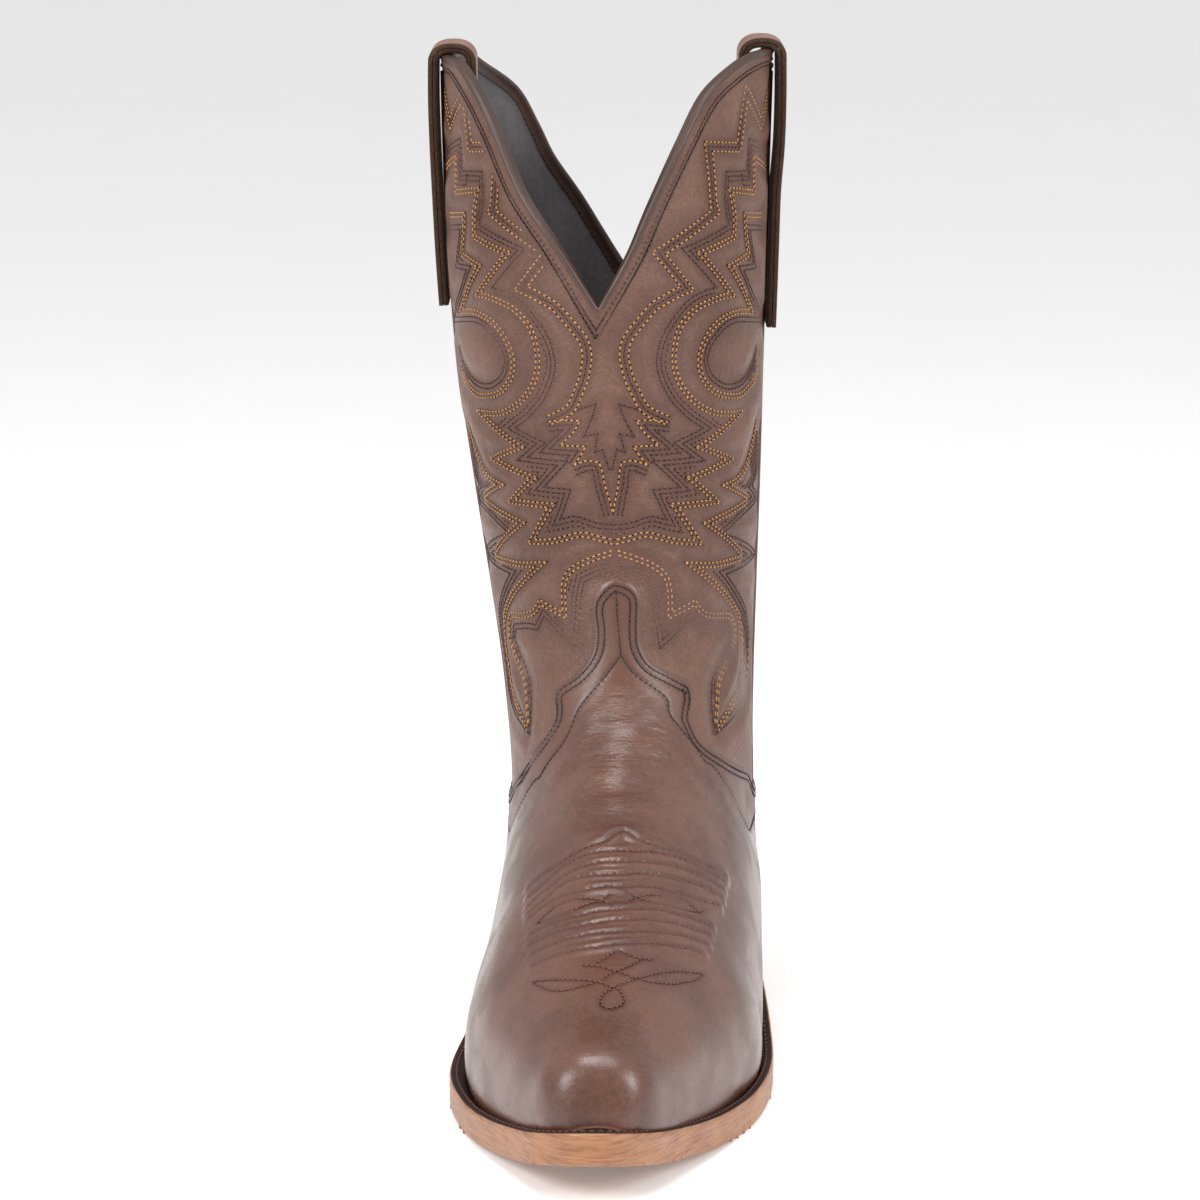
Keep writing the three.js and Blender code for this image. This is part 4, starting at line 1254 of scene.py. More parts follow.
# ---- vamp stitching, (s, length down the front) in mm ---------------------------------
RIDGES = [
    [(-29.5, 311), (-25.5, 310), (-20, 309), (-16, 307), (-12.5, 305), (-8, 303), (-4, 301.5),
     (-1, 300), (1, 297), (4.5, 294.5), (7, 296), (10, 298.5), (14, 299.5), (18.5, 300),
     (23, 300), (28, 300.5), (35, 300.5), (41, 300), (49, 299.5)],
    [(-28.5, 316.5), (-24, 315.5), (-20, 313.5), (-16, 310.5), (-12, 308), (-8.5, 307),
     (-4, 306), (1, 305.5), (6, 305), (11, 304), (15.5, 303), (20.5, 302.5), (26, 302),
     (32, 302.5), (38.5, 302.5), (43.5, 302), (48, 301.5)],
    [(-28, 321.5), (-23, 319.5), (-18, 317), (-14, 315), (-9.5, 313), (-5, 312), (-1, 311.5),
     (4, 311), (9, 310), (14, 309), (19.5, 307.5), (25.5, 306.5), (32, 305.8), (38, 305.6),
     (42.5, 305.4), (47, 305)],
    [(-27.5, 325.5), (-22.5, 324), (-18.5, 321.5), (-14.5, 319), (-10.5, 318), (-5.5, 318),
     (-0.5, 318), (4.5, 317.5), (9, 316), (14.5, 314.5), (20, 313.5), (25.5, 312.5),
     (32, 310.5), (38.5, 309.5), (43, 309), (46, 309)],
    [(-27, 329), (-23, 327.5), (-19, 326.5), (-15, 325.5), (-10, 325.5), (-5, 325),
     (-0.5, 324.5), (4.5, 324), (9.5, 322.5), (14.5, 321), (20, 320), (24.5, 319.5),
     (29.5, 318), (35.5, 316.5), (40.5, 314), (44, 313)],
    [(-25.5, 339), (-20.5, 338.5), (-16.5, 338.5), (-12, 338.5), (-8, 338.5), (-3.5, 337.5),
     (1.5, 337), (6.5, 335.5), (11.5, 334), (16.5, 332), (22, 331), (27, 329.5), (33, 327.5),
     (39.5, 325)],
    [(-25.5, 345), (-21.5, 344.5), (-17, 344.5), (-13, 344.5), (-8.5, 344.5), (-4, 344),
     (0.5, 343), (6.5, 341.5), (12, 339.5), (17.5, 338), (23, 336), (27.5, 335),
     (32.5, 333), (38, 330.5)],
    [(-24.5, 351), (-21, 350.5), (-17, 350.5), (-12, 350), (-8, 350), (-3, 349.5), (1.5, 349),
     (7.5, 347.5), (13.5, 345.5), (18.5, 343.5), (24, 341.5), (29.5, 339.5), (36.5, 337)],
    [(-24, 357.5), (-19.5, 357.5), (-15.5, 357.5), (-11, 357.5), (-6.5, 357.5), (-1.5, 357),
     (3, 355.5), (8.5, 354), (14.5, 351.5), (19.5, 349.5), (24.5, 347.5), (29.5, 345),
     (34.5, 343.5)],
]
LEAVES = [
    [(-24.5, 334.5), (-22, 332.5), (-18.5, 330.5), (-15, 329), (-10.5, 329), (-6, 330),
     (-2.5, 331.5), (0.5, 333.5), (3.5, 336)],
    [(-23.5, 334.5), (-19, 336), (-14, 336), (-10, 334.5), (-6.5, 333), (-3.5, 332.5),
     (-1.5, 332)],
    [(4, 335.5), (6.5, 332), (9.5, 329), (13.5, 326), (19, 323.5), (23.5, 322), (27.5, 321.5),
     (32, 322), (36, 323), (39.5, 325)],
    [(10.5, 328.5), (14.5, 329.5), (19.5, 328.5), (24.5, 327), (30, 324.5), (35, 321.5),
     (42, 314)],
    [(-2, 332), (0.5, 329), (4.5, 325.5), (6.5, 326), (9.5, 328.5)],
    [(-2, 366.5), (1, 363), (4, 358.5), (7, 360.5), (11, 361.5), (15.5, 360)],
    [(4.5, 371), (7.5, 368), (10, 364.5), (12.5, 361.5)],
    [(-6.5, 367.5), (-3.5, 368), (0, 369.5), (3.5, 371), (6.5, 372), (10, 373.5),
     (11.5, 372.5)],
    [(11.5, 373), (15.5, 368.5), (19.5, 364.5), (24.5, 360), (30.5, 355.5), (35.5, 352),
     (32, 358), (28, 362.5), (23.5, 367.5), (18.5, 371), (14.5, 373), (12, 373)],
    [(-24, 366), (-19.5, 369), (-14.5, 372), (-10, 374.5), (-6, 376), (-2.5, 377.5),
     (1.5, 379.5), (3.5, 381.5)],
    [(-24, 366.5), (-19.5, 373), (-15, 378), (-10.5, 380), (-6, 379.5), (-2.5, 378.5)],
    [(0, 377), (2, 373.5), (4.5, 371)],
    [(3.5, 381), (6, 378.5), (9, 375.5), (10.5, 373.5)],
    [(3.5, 381.5), (1, 384.5), (0, 387.5), (0.5, 391.5), (3, 393), (6, 391), (7.5, 387.5),
     (6.5, 383.5), (4.5, 380.5)],
]
INSTEP_LEFT = [(1, 216.5), (-5, 225.5), (-13, 236), (-20, 250), (-35.5, 262)]
INSTEP_RIGHT = [(1, 216.5), (6, 224), (17.5, 232.5), (20, 240), (37.5, 256.5)]
MIDDLE_ROW = [(0, 193), (0, 200.5), (0.5, 209), (1, 216.5)]
COVER_TOP = COVER_LIFT + COVER


def flat(v, a):
    """Form coordinates laid out as a plane, about 1 mm to a unit."""
    return np.stack([a * 50, -v * 30], -1)


VAMP_REACH = (-38.7, 42.1)   # x range over which the drawn top edge lies on the form
SIDE_HEIGHT = 84.0           # height of the vamp's top edge at the side seams
BAND_HEIGHT = 75.0           # height of the single inner row at the side seams


def vamp_edge_line():
    """Form coordinates of the vamp's top edge, inner seam to outer seam."""
    mid = np.array([p for p in VAMP_EDGE if VAMP_REACH[0] <= p[0] <= VAMP_REACH[1]])
    v0 = np.interp(-mid[:, 1], -FRONT_LINE[:, 2], V_MARKS)
    a0 = np.arcsin(np.clip((mid[:, 0] + 5) / 48, -0.98, 0.98))
    v, a = meet([0, 2], mid, v0, a0)
    ends = []
    for side in (-1, 1):
        k = 0 if side < 0 else -1
        start = form_point(v[k], a[k])
        y = np.linspace(seam_y(SIDE_HEIGHT) - 0.15, start[1] + 0.8, 40)
        z = SIDE_HEIGHT + ((start[2] - SIDE_HEIGHT)
                           * np.clip((start[1] + 25 - y) / 25, 0, 1) ** 2)
        vs, as_ = meet([1, 2], np.stack([y, z], 1), np.full(40, 9.5), np.full(40, side * 1.35))
        ends.append((vs, as_))
    v = np.r_[ends[0][0], v, ends[1][0][::-1]]
    a = np.r_[ends[0][1], a, ends[1][1][::-1]]
    return v, a


def instep_lines():
    """The single row inside the vamp's matt top band, inner seam to outer seam."""
    out = []
    for line, side in ((INSTEP_LEFT, -1), (INSTEP_RIGHT, 1)):
        q = np.vstack(soften(line, step=1.0, corner=50))
        v, a = on_front(q, "length")
        last = form_point(v[-1], a[-1])
        y = np.linspace(last[1] + 3, seam_y(BAND_HEIGHT), 30)
        z = last[2] + (BAND_HEIGHT - last[2]) * step_in(last[1], last[1] + 22, y)
        vs, as_ = meet([1, 2], np.stack([y, z], 1), np.full(30, 10.0), np.full(30, side * 1.4))
        out.append((np.r_[v, vs], np.r_[a, as_]))
    return out


def along_form(v, a, step=0.6):
    q = resampled(np.c_[form_point(v, a), v, a], step)
    return q[:, 3], q[:, 4]


def counter_line(drop):
    """Form coordinates of a line below the counter's top edge, inner seam round the
    back to the outer seam."""
    a = np.linspace(math.pi / 2 - 0.45, 3 * math.pi / 2 + 0.45, 400)
    lo, hi = np.full(a.shape, 3.0), np.full(a.shape, 11.0)
    line = [(y, z - drop) for y, z in rounded_line(COUNTER_TOP)]
    far = np.array(line)

    def high(mid):
        p = form_point(mid, a)
        return p[:, 2] > np.interp(p[:, 1], far[:, 0], far[:, 1])

    lo, hi = halved(lo, hi, high)
    v = (lo + hi) / 2
    p = form_point(v, a)
    keep = p[:, 1] > seam_y(p[:, 2]) + 0.2
    return v[keep], a[keep]


# ---- the panel of sizes and colours ------------------------------------------------------
class BootSizes(bpy.types.PropertyGroup):
    skin_cell: bpy.props.FloatProperty(
        name="Skin cell", description="Spacing of the mesh on the leather skins",
        default=0.0008, unit="LENGTH", subtype="DISTANCE", min=0.0006, max=0.004)
    stitch_pitch: bpy.props.FloatProperty(
        name="Stitch pitch", description="Distance from one needle hole to the next",
        default=PITCH * MM, unit="LENGTH", subtype="DISTANCE", min=0.0015, max=0.004)
    welt_pitch: bpy.props.FloatProperty(
        name="Welt stitch pitch", description="Stitch length along the welt",
        default=0.003, unit="LENGTH", subtype="DISTANCE", min=0.002, max=0.006)


class BootColours(bpy.types.PropertyGroup):
    shaft: bpy.props.StringProperty(
        name="Shaft", description="Colour of the shaft leather, as a hex value",
        default="5b3c2f")
    vamp: bpy.props.StringProperty(
        name="Vamp", description="Colour of the vamp leather, as a hex value",
        default="5c3b2f")
    floor: bpy.props.FloatVectorProperty(
        name="Floor", description="Colour of the floor", subtype="COLOR", size=3,
        default=(0.9, 0.9, 0.9), min=0, max=1)


def store():
    scene = bpy.context.scene
    return scene.boot_sizes, scene.boot_colours


class BOOT_OT_finishes(bpy.types.Operator):
    """Mixes the leathers, threads, rubber and metal"""
    bl_idname = "boot.finishes"
    bl_label = "Finishes"

    def execute(self, context):
        make_materials(store()[1].shaft, store()[1].vamp)
        return {"FINISHED"}


# thread and its width in mm for each kind of row in the shaft's pattern
SHAFT_THREADS = {"gold": ("gold_thread", 0.58), "rust": ("rust_thread", 0.5),
                 "black": ("plum_thread", 0.5)}


class BOOT_OT_shaft(bpy.types.Operator):
    """Cuts the two shaft panels and sews their pattern"""
    bl_idname = "boot.shaft"
    bl_label = "Shaft panels"

    def execute(self, context):
        sizes = store()[0]
        pitch = sizes.stitch_pitch / MM
        cell = sizes.skin_cell / MM
        for front in (True, False):
            side = "front" if front else "back"
            rows = shaft_rows()
            spots = []
            sewn = {}
            for thread, runs in rows.items():
                starts, ends = stitch_points(runs, pitch)
                turn = on_front if front else on_back
                va, vb = np.stack(turn(starts), 1), np.stack(turn(ends), 1)
                p = form_point((va[:, 0] + vb[:, 0]) / 2, (va[:, 1] + vb[:, 1]) / 2)
                gap = (seam_y(p[:, 2]) - p[:, 1]) * (1 if front else -1)
                edge = beneath(FRONT_EDGE if front else BACK_EDGE, p[:, 0], p[:, 2])
                keep = (gap > 2.6) & (edge > 7.5)
                if front:
                    keep &= signed([*VAMP_EDGE, (90, -50), (-90, -50)], p[:, 0], p[:, 2]) < -0.8
                else:
                    low = np.array(COUNTER_TOP, float)
                    keep &= p[:, 2] > np.interp(p[:, 1], low[:, 0], low[:, 1]) + 1
                sewn[thread] = (va[keep], vb[keep])
                spots.append(p[keep])
            for row, lines in sewn.items():
                thread, width = SHAFT_THREADS[row]
                sew(f"shaft_{side}_{row}_stitching", lines, lay(-0.32),
                    pitch, MATERIALS[thread], width=width, sink=0.12)
            level, shape, marks = shaft_panel(front, np.vstack(spots))
            heights = np.arange(353, 66 if front else 46, -cell)
            if front:
                v = np.interp(-heights, -FRONT_LINE[:, 2], V_MARKS)
                s = np.arange(-103, 103, cell)
                a = look_up(ANGLE_FRONT, np.full(s.shape, 1.0), s)
            else:
                v = np.interp(-heights, -BACK_LINE[:, 2], V_MARKS)
                s = np.arange(-112, 112, cell)
                a = math.pi - look_up(ANGLE_BACK, np.full(s.shape, 1.0), s)
            ob = cut_skin(f"shaft_{side}_skin", v, np.sort(a), level, shape, PANEL, marks)
            deliver(ob, [f"shaft_{side}"], MATERIALS["shaft_hide"])
        return {"FINISHED"}


class BOOT_OT_vamp(bpy.types.Operator):
    """Cuts and sews the vamp with its tongue, top rows and raised cords"""
    bl_idname = "boot.vamp"
    bl_label = "Vamp"

    def execute(self, context):
        cell = store()[0].skin_cell / MM * 0.82
        lift = COVER_TOP - 0.12
        edge_v, edge_a = along_form(*vamp_edge_line(), step=1.0)
        top_rows = [row_of(*shifted(edge_v, edge_a, -d), 2.0) for d in (2.1, 4.2)]
        left, right = instep_lines()
        mid = on_front(np.vstack(soften(MIDDLE_ROW, step=1.0)), "length")
        inner = [row_of(*mid, 2.0), row_of(*left, 2.0), row_of(*right, 2.0)]
        cords, leaves = [
            [row_of(*on_front(run, "length"), 1.9) for drawn in group_
             for run in soften(drawn, corner=60)] for group_ in (RIDGES, LEAVES)]
        sew("vamp_top_stitching", joined(*top_rows), lay(lift), 2.0,
            MATERIALS["black_thread"], width=0.62)
        sew("vamp_instep_stitching", joined(*inner), lay(lift - 0.1), 2.0,
            MATERIALS["black_thread"], width=0.6)
        sew("vamp_cord_stitching", joined(*cords), lay(COVER_TOP - 0.2), 1.9,
            MATERIALS["cherry_thread"], width=0.6)
        sew("vamp_leaf_stitching", joined(*leaves), lay(COVER_TOP - 0.12), 1.9,
            MATERIALS["cherry_thread"], width=0.55)

        def spots_of(rows):
            q = joined(*rows)
            return form_point((q[0][:, 0] + q[1][:, 0]) / 2, (q[0][:, 1] + q[1][:, 1]) / 2)

        cord_tree = tree_of(np.vstack([spots_of(cords), *[
            form_point(r[0][:, 0], r[0][:, 1]) for r in cords]]))
        row_tree = tree_of(spots_of([*top_rows, *inner, *leaves]))
        edge_tree = tree_of(form_point(edge_v, edge_a))
        inner_line = [form_point(*along_form(*left)), form_point(*along_form(*right))]
        inner_tree = tree_of(np.vstack(inner_line))
        outline = flat(edge_v, edge_a)
        band_ring = np.vstack([outline, flat(*right)[::-1], flat(*left)])

        def level(v, a):
            p = form_point(v, a)
            y, z = p[..., 1], p[..., 2]
            ring = [*outline, (220, -700), (-220, -700)]
            top = signed(ring, *np.moveaxis(flat(v, a), -1, 0))
            return np.minimum.reduce([top * 0.5, seam_y(z) - 0.15 - y,
                                      z - sole_top(y) - 0.35])

        cache = {}

        def fields(v, a):
            key = (v.shape, float(v.sum()))
            if key not in cache:
                p, n = form_point(v, a), form_normal(v, a)
                cache[key] = (p, n, *[gaps(t, p, level(v, a) > -1.5)
                                      for t in (cord_tree, row_tree, edge_tree, inner_tree)])
            return cache[key]

        def shape(v, a):
            p, n, cord, row, edge, inner_ = fields(v, a)
            y, z = p[..., 1], p[..., 2]
            round_ = np.sqrt(np.clip(1 - (1 - np.clip(cord - 0.15, 0, 1.9) / 1.9) ** 2, 0, 1))
            rise = 0.95 * round_ - 0.42 - 0.53 * step_in(1.9, 4.5, cord)
            rise += -0.22 * (1 - step_in(0.2, 1.5, row))
            rise += -0.75 * (1 - step_in(0.0, 1.3, edge))
            bend = np.exp(-((z - 112) / 26) ** 2) * step_in(3, 12, inner_)
            rise += 0.5 * bend * ripple(p * np.array([0.4, 1.0, 1.6]), 3, 17)
            rise += 0.2 * ripple(p, 8, 45) * step_in(4, 16, edge) * step_in(8, 20, cord)
            toe = np.exp(-((y + 262) / 7.0) ** 2)
            rise += 0.7 * toe * step_in(0, 12, z - sole_top(y))
            rise -= 0.5 * np.exp(-((y + 244) / 8.0) ** 2) * step_in(38, 50, z)
            return p + n * (COVER_TOP + rise)[..., None]

        def marks(v, a):
            p, _, cord, row, _, inner_ = fields(v, a)
            inside = signed(band_ring, *np.moveaxis(flat(v, a), -1, 0))
            z = p[..., 2]
            flex = np.exp(-((z - 110) / 22) ** 2) * step_in(1, 8, inner_) * (inside < 0)
            # sew masks painted shade in the grooves near the cords and stitch rows
            return {"sew": 1 - step_in(0.5, 2.2, np.minimum(cord, row)),
                    "band": step_in(-6, 3, inside), "flex": flex}

        length = np.arange(184, FRONT_RUN[-1] + 0.5, cell)
        v = np.interp(length, FRONT_RUN, V_MARKS)
        v = np.r_[v[v < LAST], LAST, LAST + np.array([.12, .25, .4, .55, .7, .82, .92, .98])]
        v = np.unique(v)
        s = np.arange(-118, 118, cell)
        angles = np.sort(look_up(ANGLE_FRONT, np.full(s.shape, 13.0), s))
        angles = angles[np.abs(angles) < 2.95]
        ob = cut_skin("vamp_skin", v, angles, level, shape, COVER, marks)
        deliver(ob, ["vamp"], MATERIALS["vamp_hide"])
        return {"FINISHED"}


class BOOT_OT_counter(bpy.types.Operator):
    """Cuts and sews the counter cover round the heel"""
    bl_idname = "boot.counter"
    bl_label = "Counter cover"

    def execute(self, context):
        cell = store()[0].skin_cell / MM * 1.25
        lift = COVER_TOP - 0.12
        rows = [row_of(*counter_line(d), 2.0) for d in (2.4, 4.5, 11.5)]
        middles = sew("counter_stitching", joined(*rows), lay(lift), 2.0,
                      MATERIALS["black_thread"], width=0.62)
        tree = tree_of(middles)
        top = np.array(rounded_line(COUNTER_TOP))
        edge_ring = [*map(tuple, top), (200, 118), (200, -60), (-60, -60), (-60, 84)]

        def level(v, a):
            p = form_point(v, a)
            y, z = p[..., 1], p[..., 2]
            return np.minimum.reduce([signed(edge_ring, y, z), y - seam_y(z) - 0.15,
                                      z - sole_top(y) - 0.35])

        def shape(v, a):
            p, n = form_point(v, a), form_normal(v, a)
            near = np.array([tree.find(q)[2] for q in (p + n * lift).reshape(-1, 3)])
            near = near.reshape(v.shape)
            edge = signed(edge_ring, p[..., 1], p[..., 2])
            rise = -0.22 * (1 - step_in(0.2, 1.5, near)) - 0.7 * (1 - step_in(0, 1.3, edge))
            rise += 0.2 * ripple(p, 21, 40)
            return p + n * (COVER_TOP + rise)[..., None]

        def marks(v, a):
            p, n = form_point(v, a), form_normal(v, a)
            near = np.array([tree.find(q)[2] for q in (p + n * lift).reshape(-1, 3)])
            edge = signed(edge_ring, p[..., 1], p[..., 2])
            # sew masks painted shade in the grooves near the stitch rows
            return {"sew": 1 - step_in(0.5, 2.2, near.reshape(v.shape)),
                    "band": 1 - step_in(9, 12.5, edge), "flex": np.zeros(v.shape)}

        run = run_along(BACK_LINE)
        at = np.arange(run[np.searchsorted(-BACK_LINE[:, 2], -128)], run[-1] * 0.999, cell)
        v = np.interp(at, run, V_MARKS)
        v = v[v < 15]
        s = np.arange(-112, 112, cell)
        a = np.sort(math.pi - look_up(ANGLE_BACK, np.full(s.shape, 8.0), s))
        ob = cut_skin("counter_skin", v, a, level, shape, COVER, marks)
        deliver(ob, ["counter_cover"], MATERIALS["vamp_hide"])
        return {"FINISHED"}


class BOOT_OT_linings(bpy.types.Operator):
    """Lines the leg with smooth black leather and sews its top row; the foot lining gets its tan
    in the inner parts step
    """
    bl_idname = "boot.linings"
    bl_label = "Linings"

    def execute(self, context):
        outer = -PANEL - 0.45
        for front in (True, False):
            side = "front" if front else "back"
            edge = rounded_line(lowered(FRONT_COLLAR if front else BACK_COLLAR, 1.8))

            def level(v, a):
                p = form_point(v, a)
                x, y, z = np.moveaxis(p, -1, 0)
                join = np.interp(y, [-160, -60, -20, 80], [172, 118, 100, 108]) + 0.3
                seam = (seam_y(z) - 0.2 - y) * (1 if front else -1) - (0 if front else 0.4)
                return np.minimum.reduce([beneath(edge, x, z), z - join, seam])

            def shape(v, a):
                p, n = form_point(v, a), form_normal(v, a)
                dip = 0.45 * (ripple(p, 31, 45) - 1)
                return p + n * (outer + dip * step_in(0, 10, beneath(edge, p[..., 0],
                                                                   p[..., 2])))[..., None]

            cell = 2.0
            top = FRONT_LINE if front else BACK_LINE
            heights = np.arange(353, 90, -cell)
            v = np.interp(-heights, -top[:, 2], V_MARKS)
            s = np.arange(-112, 112, cell)
            a = look_up(ANGLE_FRONT if front else ANGLE_BACK, np.full(s.shape, 1.0), s)
            a = a if front else math.pi - a
            ob = cut_skin(f"shaft_lining_{side}_skin", v, np.sort(a), level, shape, 0.85,
                          thin=False)
            deliver(ob, [f"shaft_lining_{side}"],
                    MATERIALS["black_lining"])
            v, a, _ = collar_row(front, 4.6)
            rows = row_of(v, a, 2.2)
            sew(f"lining_{side}_stitching", rows,
                lambda q: (form_point(q[:, 0], q[:, 1])
                           - form_normal(q[:, 0], q[:, 1]) * 3.65,
                           -form_normal(q[:, 0], q[:, 1])),
                2.2, MATERIALS["black_thread"], width=0.6, holes=False)
        return {"FINISHED"}


class BOOT_OT_collar(bpy.types.Operator):
    """Wraps the collar binding over the top edges and sews it down"""
    bl_idname = "boot.collar"
    bl_label = "Collar binding"

    def execute(self, context):
        inner = -PANEL - 1.3
        loop = [(5.0, 0.28), (5.0, 0.52), (4.2, 0.74), (2.4, 0.74), (2.0, 0.85), (1.6, 1.2),
                (1.0, 1.36), (0.35, 1.15), (-0.15, 0.5), (-0.3, -0.4), (-0.3, -1.8),
                (-0.1, -2.9), (0.5, -3.6), (1.4, -3.8), (2.2, -3.55), (2.7, -3.2),
                (4.2, -3.15), (5.0, -3.0), (5.0, inner - 0.28), (1.5, inner - 0.28),
                (1.4, -1.2), (1.5, 0.28)]
        for front in (True, False):
            side = "front" if front else "back"
            v, a, tip = collar_row(front, 0.0, 520)
            p, n = form_point(v, a), form_normal(v, a)
            t = unit(np.gradient(p, axis=0))
            down = np.cross(t, n)
            down *= np.sign(-down[:, 2])[:, None]
            if tip > 2 and tip < len(p) - 3:
                ta, tb = p[tip] - p[tip - 1], p[tip + 1] - p[tip]
                ta, tb = ta / np.linalg.norm(ta), tb / np.linalg.norm(tb)
                half = (ta + tb) / np.linalg.norm(ta + tb)
                stretch = 1 / max(0.35, float(half @ ta))
                mitre = np.cross(half, n[tip])
                mitre *= np.sign(-mitre[2]) * stretch
                down[tip] = mitre
                for k in (1, 2, 3, 4):
                    for m, tt in ((tip - k, ta), (tip + k, tb)):
                        d = np.cross(tt, n[m])
                        down[m] = d * np.sign(-d[2]) / np.linalg.norm(d)
            ob = swept(f"top_binding_{side}_wrap", (p, down, n), loop)
            shade(ob, 60)
            ob.data.materials.append(MATERIALS["binding_lip"])
            ob.data.materials.append(MATERIALS["shaft_hide"])
            m = len(loop)
            near = tree_of(p)
            for face in ob.data.polygons:
                centre = np.array(face.center) / MM
                i = near.find(centre)[1]
                away = centre - p[i]
                if away @ down[i] > 2.0 and away @ n[i] > 0:
                    face.material_index = 1
            deliver(ob, [f"top_binding_{side}"])
            for drop, lift in ((4.0, 0.72), (5.6, 0.02)):
                rv, ra, _ = collar_row(front, drop)
                sew(f"collar_{side}_row_{int(drop)}", row_of(rv, ra, 2.0), lay(lift),
                    2.0, MATERIALS["black_thread"], width=0.7)
        return {"FINISHED"}


def seam_line(side, low, high, count=160):
    z = np.linspace(high, low, count)
    y = seam_y(z)
    v0 = np.interp(-z, -FRONT_LINE[:, 2], V_MARKS)
    return meet([1, 2], np.stack([y, z], 1), v0, np.full(count, side * 1.45))


class BOOT_OT_piping(bpy.types.Operator):
    """Runs a rolled leather piping down each side seam"""
    bl_idname = "boot.piping"
    bl_label = "Side piping"

    def execute(self, context):
        for name, side in (("inner", -1), ("outer", 1)):
            v, a = seam_line(side, 82.5, 342)
            p, n = form_point(v, a), form_normal(v, a)
            t = unit(np.gradient(p, axis=0))
            w = np.cross(n, t)
            ring = [(1.55, -1.2), (1.6, -0.2), (1.35, 0.5), (0.8, 0.98), (0, 1.15),
                    (-0.8, 0.98), (-1.35, 0.5), (-1.6, -0.2), (-1.55, -1.2), (0, -1.25)]
            ob = swept(f"side_piping_{name}_bead", (p, w, n), ring)
            shade(ob, 50)
            deliver(ob, [f"side_piping_{name}"],
                    MATERIALS["piping_hide"])
            rows = joined(*[row_of(*shifted(v, a, d), 2.1) for d in (-3.1, 3.1)])
            sew(f"side_seam_{name}_stitching", rows, lay(-0.1), 2.1,
                MATERIALS["black_thread"], width=0.58)
        return {"FINISHED"}


def strap_path(side, arch, leg_end):
    def skin(z):
        v = np.interp(-z, [-358, -318, -278, -238], [0, 1, 2, 3])
        return -abs(float(form_point(v, -side * math.pi / 2)[0]) + 7.2) - 7.2
    clear = 0.55 + 1.1 + STRAP_PLY
    path = [(skin(z) - clear, z) for z in range(leg_end, 292, 7)]
    path += [(skin(300) - clear - 0.1, 300), (-69.55, 316), (-70.0, 332)]
    for k in range(13):
        a = math.pi * (1 - k / 12)
        c, s = math.cos(a), math.sin(a)
        path.append((-63.05 + math.copysign(6.9 * abs(c) ** 0.8, c), arch + 5.6 * abs(s) ** 0.8))
    path += [(-56.1, 332), (-56.6, 318), (-57.1, 308), (-57.5, 300)]
    return [(side * (x + 7.2) - 7.2, z) for x, z in path]


class BOOT_OT_straps(bpy.types.Operator):
    """Loops a two ply pull strap over each ear of the collar"""
    bl_idname = "boot.straps"
    bl_label = "Pull straps"

    def execute(self, context):
        for name, side, arch, leg in (("inner", 1, 345.3, 258), ("outer", -1, 347.3, 250)):
            line = np.vstack([r if i == 0 else r[1:] for i, r in enumerate(
                soften(strap_path(side, arch, leg), step=1.5, corner=80))])
            run = unit(np.gradient(line, axis=0))
            out = np.stack([-run[:, 1], run[:, 0]], 1) * side
            n = len(line)
            centres = np.stack([line[:, 0], np.full(n, -8.0), line[:, 1]], 1)
            outward = np.stack([out[:, 0], np.zeros(n), out[:, 1]], 1)
            across = np.broadcast_to(np.array([0.0, 1.0, 0.0]), (n, 3))
            for ply, near, far, finish in (("pull_strap", 0.1, STRAP_PLY + 0.1, "strap_face"),
                                           ("strap_backing", -0.1, -STRAP_PLY - 0.1,
                                            "strap_suede")):
                d = far - near
                ring = []
                for w, h in ((-14, .12), (-13.9, .55), (-13.55, .85), (-12.9, 1.0), (-9, 1.0),
                             (0, 1.0), (9, 1.0), (12.9, 1.0), (13.55, .85), (13.9, .55),
                             (14, .12), (13.7, 0.0), (0, 0.0), (-13.7, 0.0)):
                    ring.append((w, near + d * h))
                ob = swept(f"{ply}_{name}_ply", (centres, across, outward), ring)
                shade(ob, 50)
                ob.data.materials.append(MATERIALS[finish])
                if ply == "pull_strap":
                    ob.data.materials.append(MATERIALS["strap_suede"])
                    for face in ob.data.polygons:
                        if abs(face.center.y / MM + 8) > 13.2:
                            face.material_index = 1
                deliver(ob, [f"{ply}_{name}"])
            spots = resampled(np.c_[centres + outward * (STRAP_PLY + 0.02), outward], 2.2)
            p, ups = spots[2:-2, :3], spots[2:-2, 3:]
            for k, shift in enumerate((-11.2, 11.2)):
                q = p + np.array([0, shift, 0])
                mids = (q[1:] + q[:-1]) / 2
                repeated(f"strap_{name}_row_{k + 1}", "stitch", mids, q[1:] - q[:-1],
                         ups[1:], (1.4, 0.55, 0.32), MATERIALS["black_thread"])
        return {"FINISHED"}


# ---- bottom of the boot ------------------------------------------------------------------
def closed_curve(points, step):
    runs = soften(points + points[:3], step=0.5, corner=179)
    whole = np.vstack(runs)
    start = np.argmin(np.linalg.norm(whole[:40] - np.array(points[0]), axis=1))
    tail = np.linalg.norm(whole[len(whole) // 2:] - np.array(points[0]), axis=1)
    end = len(whole) // 2 + int(np.argmin(tail))
    return resampled(whole[start:end + 1], step)[:-1]


def turns_left(ring):
    """Whether a plan outline runs anticlockwise."""
    return np.sum(ring[:, 0] * np.roll(ring[:, 1], -1)
                  - np.roll(ring[:, 0], -1) * ring[:, 1]) > 0


def inward_of(ring):
    """Plan directions pointing inwards from each point of an outline."""
    t = unit(np.roll(ring, -1, 0) - np.roll(ring, 1, 0))
    way = np.stack([-t[:, 1], t[:, 0]], 1)
    return way if turns_left(ring) else -way


